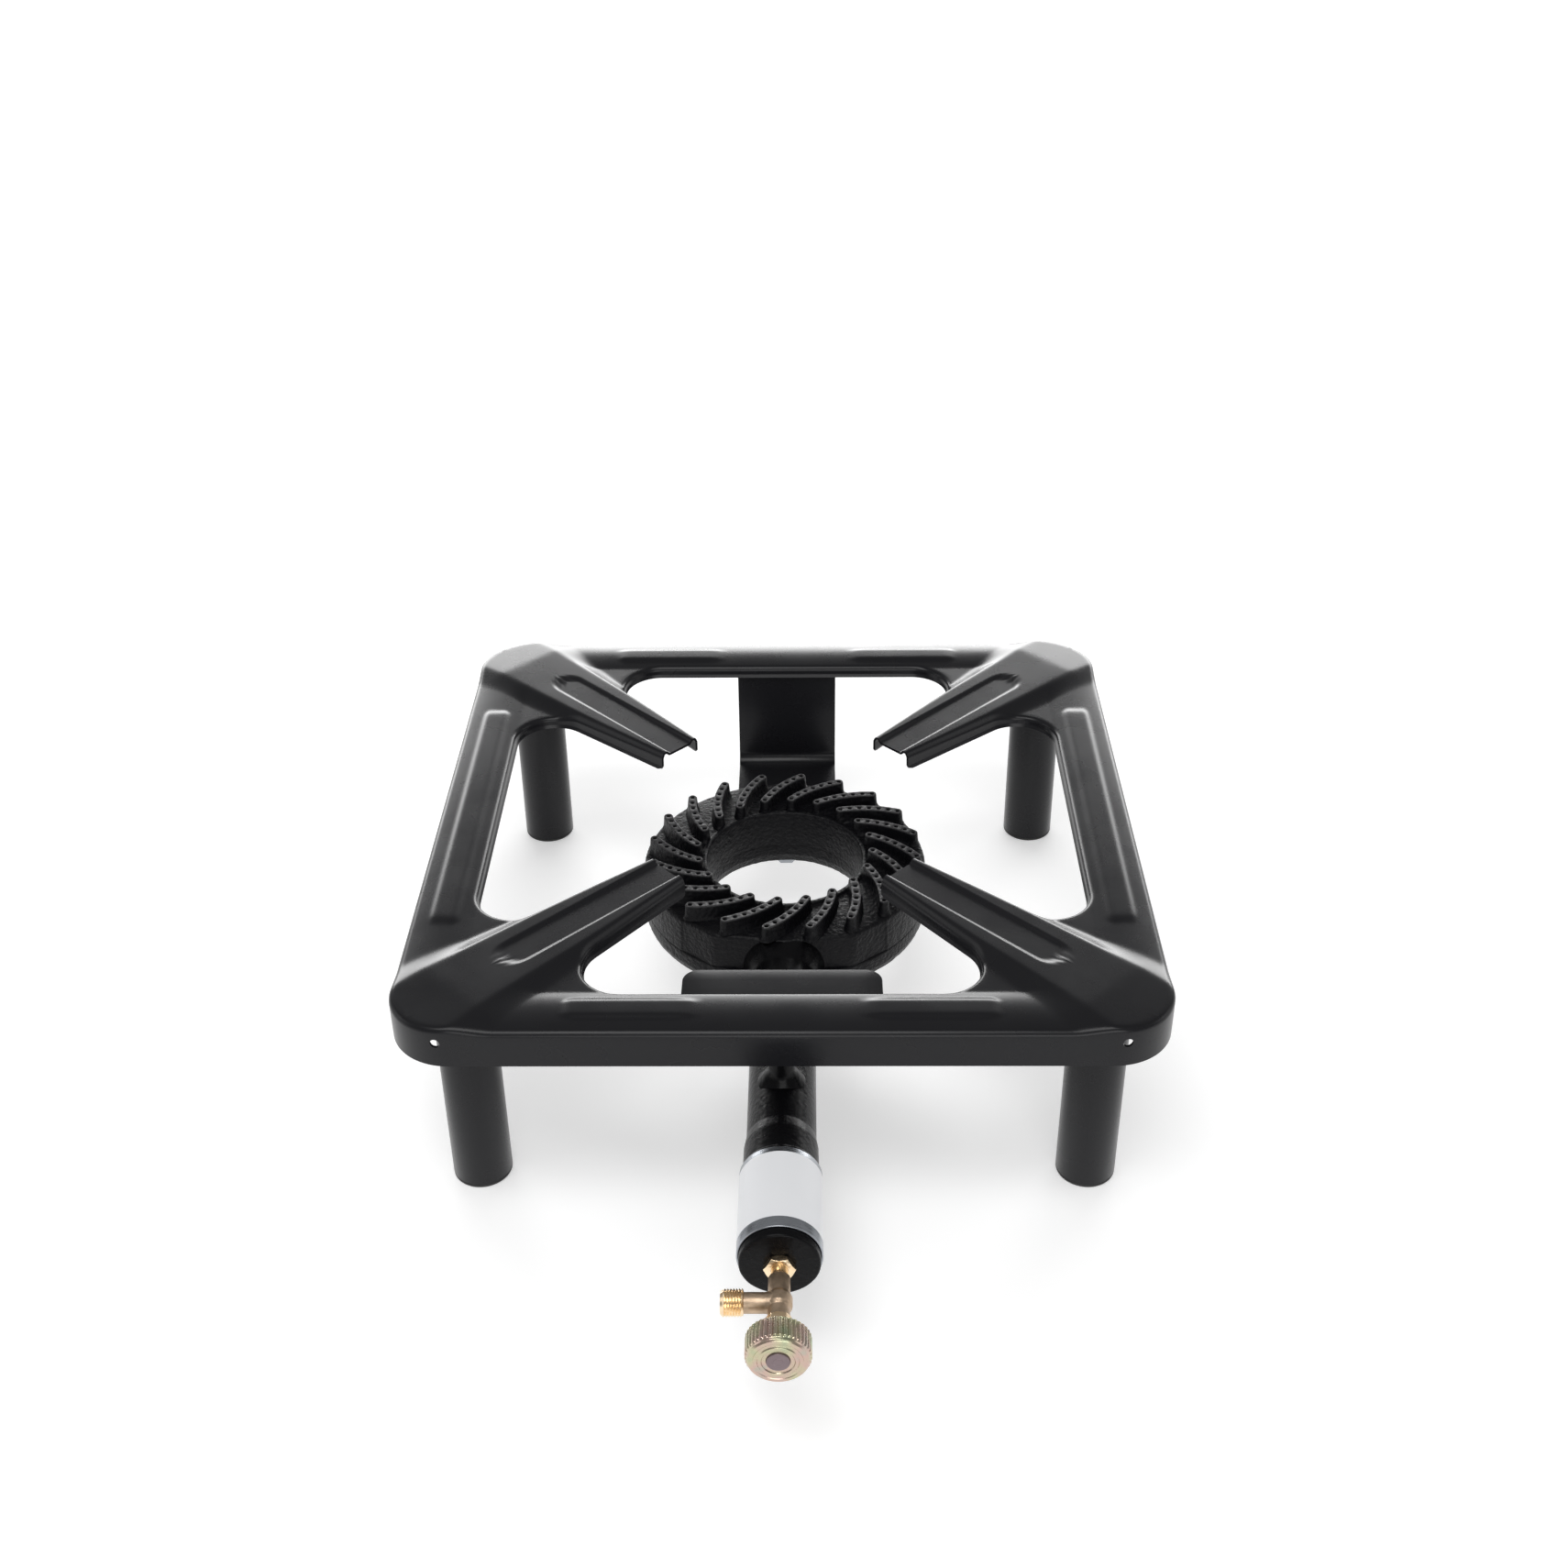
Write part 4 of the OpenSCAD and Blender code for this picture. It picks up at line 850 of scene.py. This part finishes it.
def build_boss():
    r = BOSS_D / 2
    top = local_box("front_plate")[0][2]
    profile = rounded([
        (0, TUBE_Z + 13.6, 0), (r + 5.5, TUBE_Z + 14, 0), (r + 0.3, TUBE_Z + 22, 7),
        (r, top - 0.02, 0.6), (0, top - 0.02, 0)], 6)
    boss = lathe("boss", profile, "z", (0, BOSS_Y, 0), 64, closed=False)
    return roughen(boss, 0.08, 4.0, seed=3)


def build_burner_head():
    ring = join("burner_ring", [build_head_shell(), build_ridges()])
    dress(ring, CASTING, "stand", "cast_burner", "burner_head", sharp=60)
    tube = join("burner_tube", [build_tube(), build_boss()])
    dress(tube, TUBE_BLACK, "stand", "cast_burner", "burner_head", sharp=45)


def build_burner_base():
    profile = rounded([
        (HOLE_R + 2.2, BURNER_Z, 1.0), (BURNER_R - 1.8, BURNER_Z, 2.0), (BURNER_R - 0.1, BURNER_Z + 5, 3.0),
        (BURNER_R, SPLIT_Z, 1.2), (HOLE_R + 0.3, SPLIT_Z, 0.5), (HOLE_R + 0.3, BURNER_Z + 6, 2.0)],
        5, closed=True)
    base = lathe("base_ring", profile, "z", (0, BURNER_Y, 0), 192)
    roughen(base, 0.22, 3.0, seed=5)
    notch = lathe("notch", [(0, -14), (18.9, -14), (18.9, 14), (0, 14)], "y",
                  (0, BURNER_Y - BURNER_R + 6, TUBE_Z), 64, closed=False)
    cut(base, notch)
    return dress(base, CASTING, "stand", "cast_burner", "burner_base", sharp=50)


# ------------------------------------------------------------------ air sleeve and its bare label
SLEEVE_T = 0.9
SLEEVE_INNER_R = LAND_D / 2 + 0.06
SEAM_HALF = math.radians(6)


def build_sleeve():
    low, high = local_box("air_sleeve")
    inner, outer = SLEEVE_INNER_R, SLEEVE_INNER_R + SLEEVE_T
    profile = rounded([(inner, low[1], 0.2), (outer, low[1], 0.3), (outer, high[1], 0.3),
                       (inner, high[1], 0.2)], 3, closed=True)
    sleeve = lathe("sleeve_sheet", profile, "y", (0, 0, TUBE_Z), 180)
    split = [(0, 0)] + [(30 * math.cos(w), 30 * math.sin(w))
                        for w in (-math.pi / 2 - SEAM_HALF, -math.pi / 2 + SEAM_HALF)]
    seam = prism("seam", split, low[1] - 1, high[1] + 1, lambda u, v, y: (u, y, v + TUBE_Z))
    cut(sleeve, seam, *air_cutters(inner))
    return dress(sleeve, ZINC, "sleeve", "zinc_steel", "air_sleeve", sharp=40)


def build_label():
    """A plain sticker with nothing printed on it, wrapped over the sleeve's upper side."""
    low, high = local_box("air_sleeve")
    r = SLEEVE_INNER_R + SLEEVE_T
    angles = np.radians(np.linspace(8, 172, 60))
    rows = np.linspace(low[1] + 6.5, high[1] - 3.5, 8)
    pts = [(face * math.cos(w), y, face * math.sin(w) + TUBE_Z)
           for face in (r + 0.02, r + 0.14) for y in rows for w in angles]
    n, m = len(rows), len(angles)
    faces = grid_faces(n, m, close_columns=False)
    faces += [[k + n * m for k in f][::-1] for f in faces]
    rim = list(range(m)) + [i * m + m - 1 for i in range(1, n)] \
        + [(n - 1) * m + j for j in range(m - 2, -1, -1)] + [i * m for i in range(n - 2, 0, -1)]
    faces += [[p, q, q + n * m, p + n * m] for p, q in zip(rim, rim[1:] + rim[:1])]
    return dress(solid("bare_label", pts, faces), LABEL, "sleeve", "zinc_steel", sharp=40)


# ------------------------------------------------------------------ valve
BORE_R = 4.15
SHANK_R = 5.94
STEM_R = 2.05
INLET_BACK = 23     # from the tube's end to the inlet's axis
THREAD_L, THREAD_R, THREAD_PITCH, THREAD_DEPTH = 10.8, 6.58, 1.337, 0.80
THREAD_ROWS = 70


def hex_piece(name, af, y0, y1, bore, chamfer=0.9):
    """A nut of width af across its flats; a cone takes the corners off at both ends."""
    edge = af / 2 - 0.15
    slope = (af / 2 / math.cos(math.pi / 6) - edge) / chamfer
    depths = np.linspace(0, chamfer, 7)
    profile = [(bore, y0)] + [(edge + slope * d, y0 + d) for d in depths] \
        + [(edge + slope * d, y1 - d) for d in depths[::-1]] + [(bore, y1)]

    def flats(radius, h, angles):
        flat = (angles + math.pi / 6 + math.pi / 6) % (math.pi / 3) - math.pi / 6
        return np.where(radius > 0.45 * af, np.minimum(radius, af / 2 / np.cos(flat)), radius)

    return lathe(name, profile, "y", (0, 0, TUBE_Z), 144, shape=flats)


def build_bushing():
    low, high = local_box("hex_bushing")
    seat = TUBE_END_Y - 0.02
    hexed = hex_piece("bushing_hex", 13.6, low[1], seat, BORE_R)
    shank = lathe("bushing_shank", [(BORE_R, seat), (SHANK_R, seat), (SHANK_R, high[1]), (BORE_R, high[1])],
                  "y", (0, 0, TUBE_Z), 48)
    return dress(join("lock_nut", [hexed, shank]), BRASS, "stand", "brass", "hex_bushing")


def valve_barrel(low, high, inlet_y):
    """The cast barrel and the turned nose behind it, both on the valve's axis."""
    front = low[1] + 6.5
    nose_y = TUBE_END_Y - 8
    barrel = rounded([
        (4.3, low[1], 0.3), (4.3, front - 0.2, 0.3), (5.2, front, 0.5), (5.2, inlet_y - 4, 1.0),
        (6.3, inlet_y - 2.6, 1.5), (6.3, inlet_y + 2.6, 1.5), (5.2, inlet_y + 4.4, 1.5),
        (5.2, nose_y, 0.8), (2.0, nose_y, 0)], 5)
    path = [(STEM_R, low[1])] + [tuple(p) for p in barrel]
    end = rounded([(1.5, nose_y - 0.1, 0), (4.1, nose_y - 0.1, 0), (4.1, high[1], 0.3),
                   (1.5, high[1], 0)], 4, closed=True)
    nose = lathe("nose", end, "y", (0, 0, TUBE_Z), 64)
    body = lathe("barrel", path, "y", (0, 0, TUBE_Z), 96)
    return roughen(body, 0.10, 2.0, seed=7), nose


def valve_inlet(reach, inlet_y):
    """The cast neck of the inlet and its threaded end, which points to -X."""
    r, foot = THREAD_R, reach - THREAD_L
    neck = rounded([(0, 2, 0), (5.6, 3, 0), (4.9, 6.5, 2.5), (4.9, foot + 0.2, 0), (0, foot + 0.2, 0)], 5)
    shoulder = [(3.0, foot), (4.9, foot), (r - 1.0, foot + 0.1)]
    turns = [(r, h) for h in np.linspace(foot + 0.5, reach - 1.2, THREAD_ROWS)]
    mouth = [(r - 1.1, reach - 0.2), (r - 1.3, reach), (3.2, reach), (3.0, reach - 0.3)]

    def thread(radius, h, angles):
        if foot + 0.4 < h < reach - 1.0:
            phase = (h / THREAD_PITCH - angles / (2 * math.pi)) % 1
            return radius - THREAD_DEPTH * np.abs(2 * phase - 1)
        return radius

    stub = lathe("inlet_neck", neck, "-x", (0, inlet_y, TUBE_Z), 64, closed=False)
    screw = lathe("inlet_thread", shoulder + turns + mouth + [(3.0, foot)], "-x",
                  (0, inlet_y, TUBE_Z), 64, closed=False, shape=thread)
    return stub, screw


def build_valve_body():
    low, high = local_box("valve_body")
    inlet_y = TUBE_END_Y - INLET_BACK
    body, nose = valve_barrel(low, high, inlet_y)
    stub, screw = valve_inlet(-low[0], inlet_y)
    dress(join("turned_ends", [screw, nose]), BRASS, "stand", "brass", "valve_body", sharp=45)
    dress(join("valve_casting", [body, stub]), BRASS_CAST, "stand", "brass", "valve_body", sharp=45)


def build_gland_nut():
    low, high = local_box("gland_nut")
    nut = hex_piece("gland_hex", 12.4, low[1], high[1], STEM_R, chamfer=1.0)
    return dress(nut, BRASS, "stand", "brass", "gland_nut")


# ------------------------------------------------------------------ knob
FLUTES = 40
FLUTE_DEPTH = 0.6
CAP_SEAT_R = 5.45


def build_knob():
    low, high = local_box("knob")
    r = (high[0] - low[0]) / 2
    front, rear = low[1], high[1]
    profile = rounded([
        (3.0, front + 3.2, 0), (3.0, front + 1.8, 0),
        (CAP_SEAT_R, front + 1.8, 0), (CAP_SEAT_R, front + 0.7, 0.25),
        (7.4, front + 0.8, 0.3), (7.8, front + 0.1, 0.3), (9.2, front + 0.1, 0.4), (9.7, front + 0.7, 0.3),
        (11.2, front + 0.7, 0.3), (11.6, front + 0.35, 0.3),
        (13.2, front + 0.45, 0.6), (14.1, front + 1.3, 0.6),
        (14.3, front + 2.3, 0.5), (r, front + 3.1, 0.6), (r, rear, 0.5), (r - 3, rear, 0.4),
        (r - 3, front + 5.2, 1.0), (4.6, front + 5.2, 1.0), (4.5, rear - 1, 0.5), (STEM_R, rear - 1, 0.3),
        (STEM_R, front + 5.0, 0), (1.35, front + 5.0, 0), (1.35, front + 3.2, 0)], 4, closed=True)

    def flutes(radius, h, angles):
        wave = np.abs(np.sin(angles * FLUTES / 2)) ** 0.7
        depth = FLUTE_DEPTH * np.clip((radius - 14.35) / 0.5, 0, 1)
        return radius - depth * (1 - wave)

    knob = lathe("knob_fluted", profile, "y", (0, 0, TUBE_Z), FLUTES * 12, shape=flutes)
    return dress(knob, PASSIVATED, "control", "passivated_zinc", "knob", sharp=50)


def build_knob_cap():
    low, high = local_box("knob_cap")
    r = (high[0] - low[0]) / 2
    front = low[1]
    profile = rounded([
        (0, front + 0.05, 0), (2.2, front + 0.05, 0.2), (2.5, front + 0.25, 0.2), (r - 0.9, front + 0.3, 0.3),
        (r, front + 0.35, 0.3), (r, high[1], 0.2), (0, high[1], 0)], 4)
    disc = lathe("centre_disc", profile, "y", (0, 0, TUBE_Z), 72, closed=False)
    return dress(disc, DISC, "control", "cap", "knob_cap")


# ------------------------------------------------------------------ build
ENAMEL = enamel()
TUBE_BLACK = gloss_black()
CASTING = casting(RIDGE_TOP_Z)
ZINC = zinc()
BRASS = brass("turned_brass", (0.82, 0.60, 0.37), (0.98, 0.80, 0.55), 0.24, 400)
BRASS_CAST = brass("cast_brass", (0.36, 0.27, 0.19), (0.64, 0.48, 0.34), 0.42, 700)
PASSIVATED = passivated()
CAP_PLASTIC = plain("cap_plastic", (0.012, 0.012, 0.012), 0.5)
LABEL = plain("label_paper", (0.86, 0.87, 0.89), 0.40, strength=0.05)
DISC = plain("disc_grey", (0.20, 0.15, 0.16), 0.35, metallic=0.4)
SEAL = plain("seal_white", (0.8, 0.8, 0.78), 0.4)


def color_kept_nodes():
    """Nine small nodes keep their CAD mesh and get a material."""
    zinc_nodes = ("bracket_bolt", "bracket_washer", "boss_screw", "boss_washer", "base_screws", "knob_screw")
    for names, material in ((zinc_nodes, ZINC), (("injector", "spindle"), BRASS), (("stem_packing",), SEAL)):
        for name in names:
            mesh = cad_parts[name].data
            mesh.materials.clear()
            mesh.materials.append(material)


build_top_frame()
for number, leg_node in enumerate(
        ("leg_front_left", "leg_front_right", "leg_rear_left", "leg_rear_right")):
    build_leg(leg_node, number)
build_leg_caps()
build_strap()
build_front_plate()
build_burner_head()
build_burner_base()
build_sleeve()
build_label()
build_bushing()
build_valve_body()
build_gland_nut()
build_knob()
build_knob_cap()
color_kept_nodes()

# ------------------------------------------------------------------ stage, light and camera
FLOOR_SIZE = 12.0


def build_stage():
    half = FLOOR_SIZE / 2
    mesh = bpy.data.meshes.new("floor")
    corners = [(-half, -half, 0), (half, -half, 0), (half, half, 0), (-half, half, 0)]
    mesh.from_pydata(corners, [], [[0, 1, 2, 3]])
    floor = add_object("floor", mesh)
    material, shader = new_material("pale_floor", (0.82, 0.82, 0.82), 0.7)
    shader.inputs["Emission Color"].default_value = (1, 1, 1, 1)
    shader.inputs["Emission Strength"].default_value = 0.35
    floor.data.materials.append(material)


def area_light(name, place, target, size, power):
    data = bpy.data.lights.new(name, "AREA")
    data.shape = "RECTANGLE"
    data.size, data.size_y = size
    data.energy = power
    light = bpy.data.objects.new(name, data)
    light.visible_camera = False
    light.location = place
    light.rotation_euler = (Vector(target) - Vector(place)).to_track_quat("-Z", "Y").to_euler()
    bpy.context.scene.collection.objects.link(light)


def build_light():
    """A bright wall behind the stand, soft boxes above and in front of it, and weak sides."""
    world = bpy.data.worlds.new("studio")
    world.use_nodes = True
    background = world.node_tree.nodes["Background"]
    background.inputs["Color"].default_value = (1, 1, 1, 1)
    background.inputs["Strength"].default_value = 0.30
    bpy.context.scene.world = world
    area_light("back_wall", (0.0, 3.2, 0.74), (0, 0, 0.74), (5.2, 1.35), 175)
    area_light("key_box", (-0.3, -0.7, 1.9), (0, 0, 0.1), (1.3, 0.9), 17)
    area_light("front_box", (0.3, -2.4, 0.9), (0, 0, 0.1), (1.6, 1.0), 16)
    area_light("left_box", (-1.9, 0.1, 0.7), (0, 0, 0.1), (1.0, 0.9), 3)
    area_light("right_box", (1.9, 0.1, 0.7), (0, 0, 0.1), (1.0, 0.9), 3)
    bpy.context.scene.view_settings.view_transform = "Standard"


def build_camera():
    """The photograph's camera, fitted to the square frame: place in mm, turns in degrees."""
    place = Vector((14.26, -933.46 + SHIFT_Y, 748.56)) * MM
    yaw, pitch, roll = (math.radians(v) for v in (-0.872, 32.97, -0.636))
    focal_px, image_px, sensor_mm = 2103.5, 1710, 36
    ahead = Vector((math.sin(yaw) * math.cos(pitch), math.cos(yaw) * math.cos(pitch), -math.sin(pitch)))
    right = Vector((math.cos(yaw), -math.sin(yaw), 0))
    up = right.cross(ahead)
    right, up = (math.cos(roll) * right + math.sin(roll) * up, -math.sin(roll) * right + math.cos(roll) * up)
    data = bpy.data.cameras.new("photo")
    data.sensor_width = sensor_mm
    data.lens = focal_px * sensor_mm / image_px
    data.clip_start = 0.05
    camera = bpy.data.objects.new("photo", data)
    camera.matrix_world = Matrix((
        (right.x, up.x, -ahead.x, place.x), (right.y, up.y, -ahead.y, place.y),
        (right.z, up.z, -ahead.z, place.z), (0, 0, 0, 1)))
    bpy.context.scene.collection.objects.link(camera)
    bpy.context.scene.camera = camera


build_stage()
build_light()
build_camera()

bpy.context.view_layer.update()
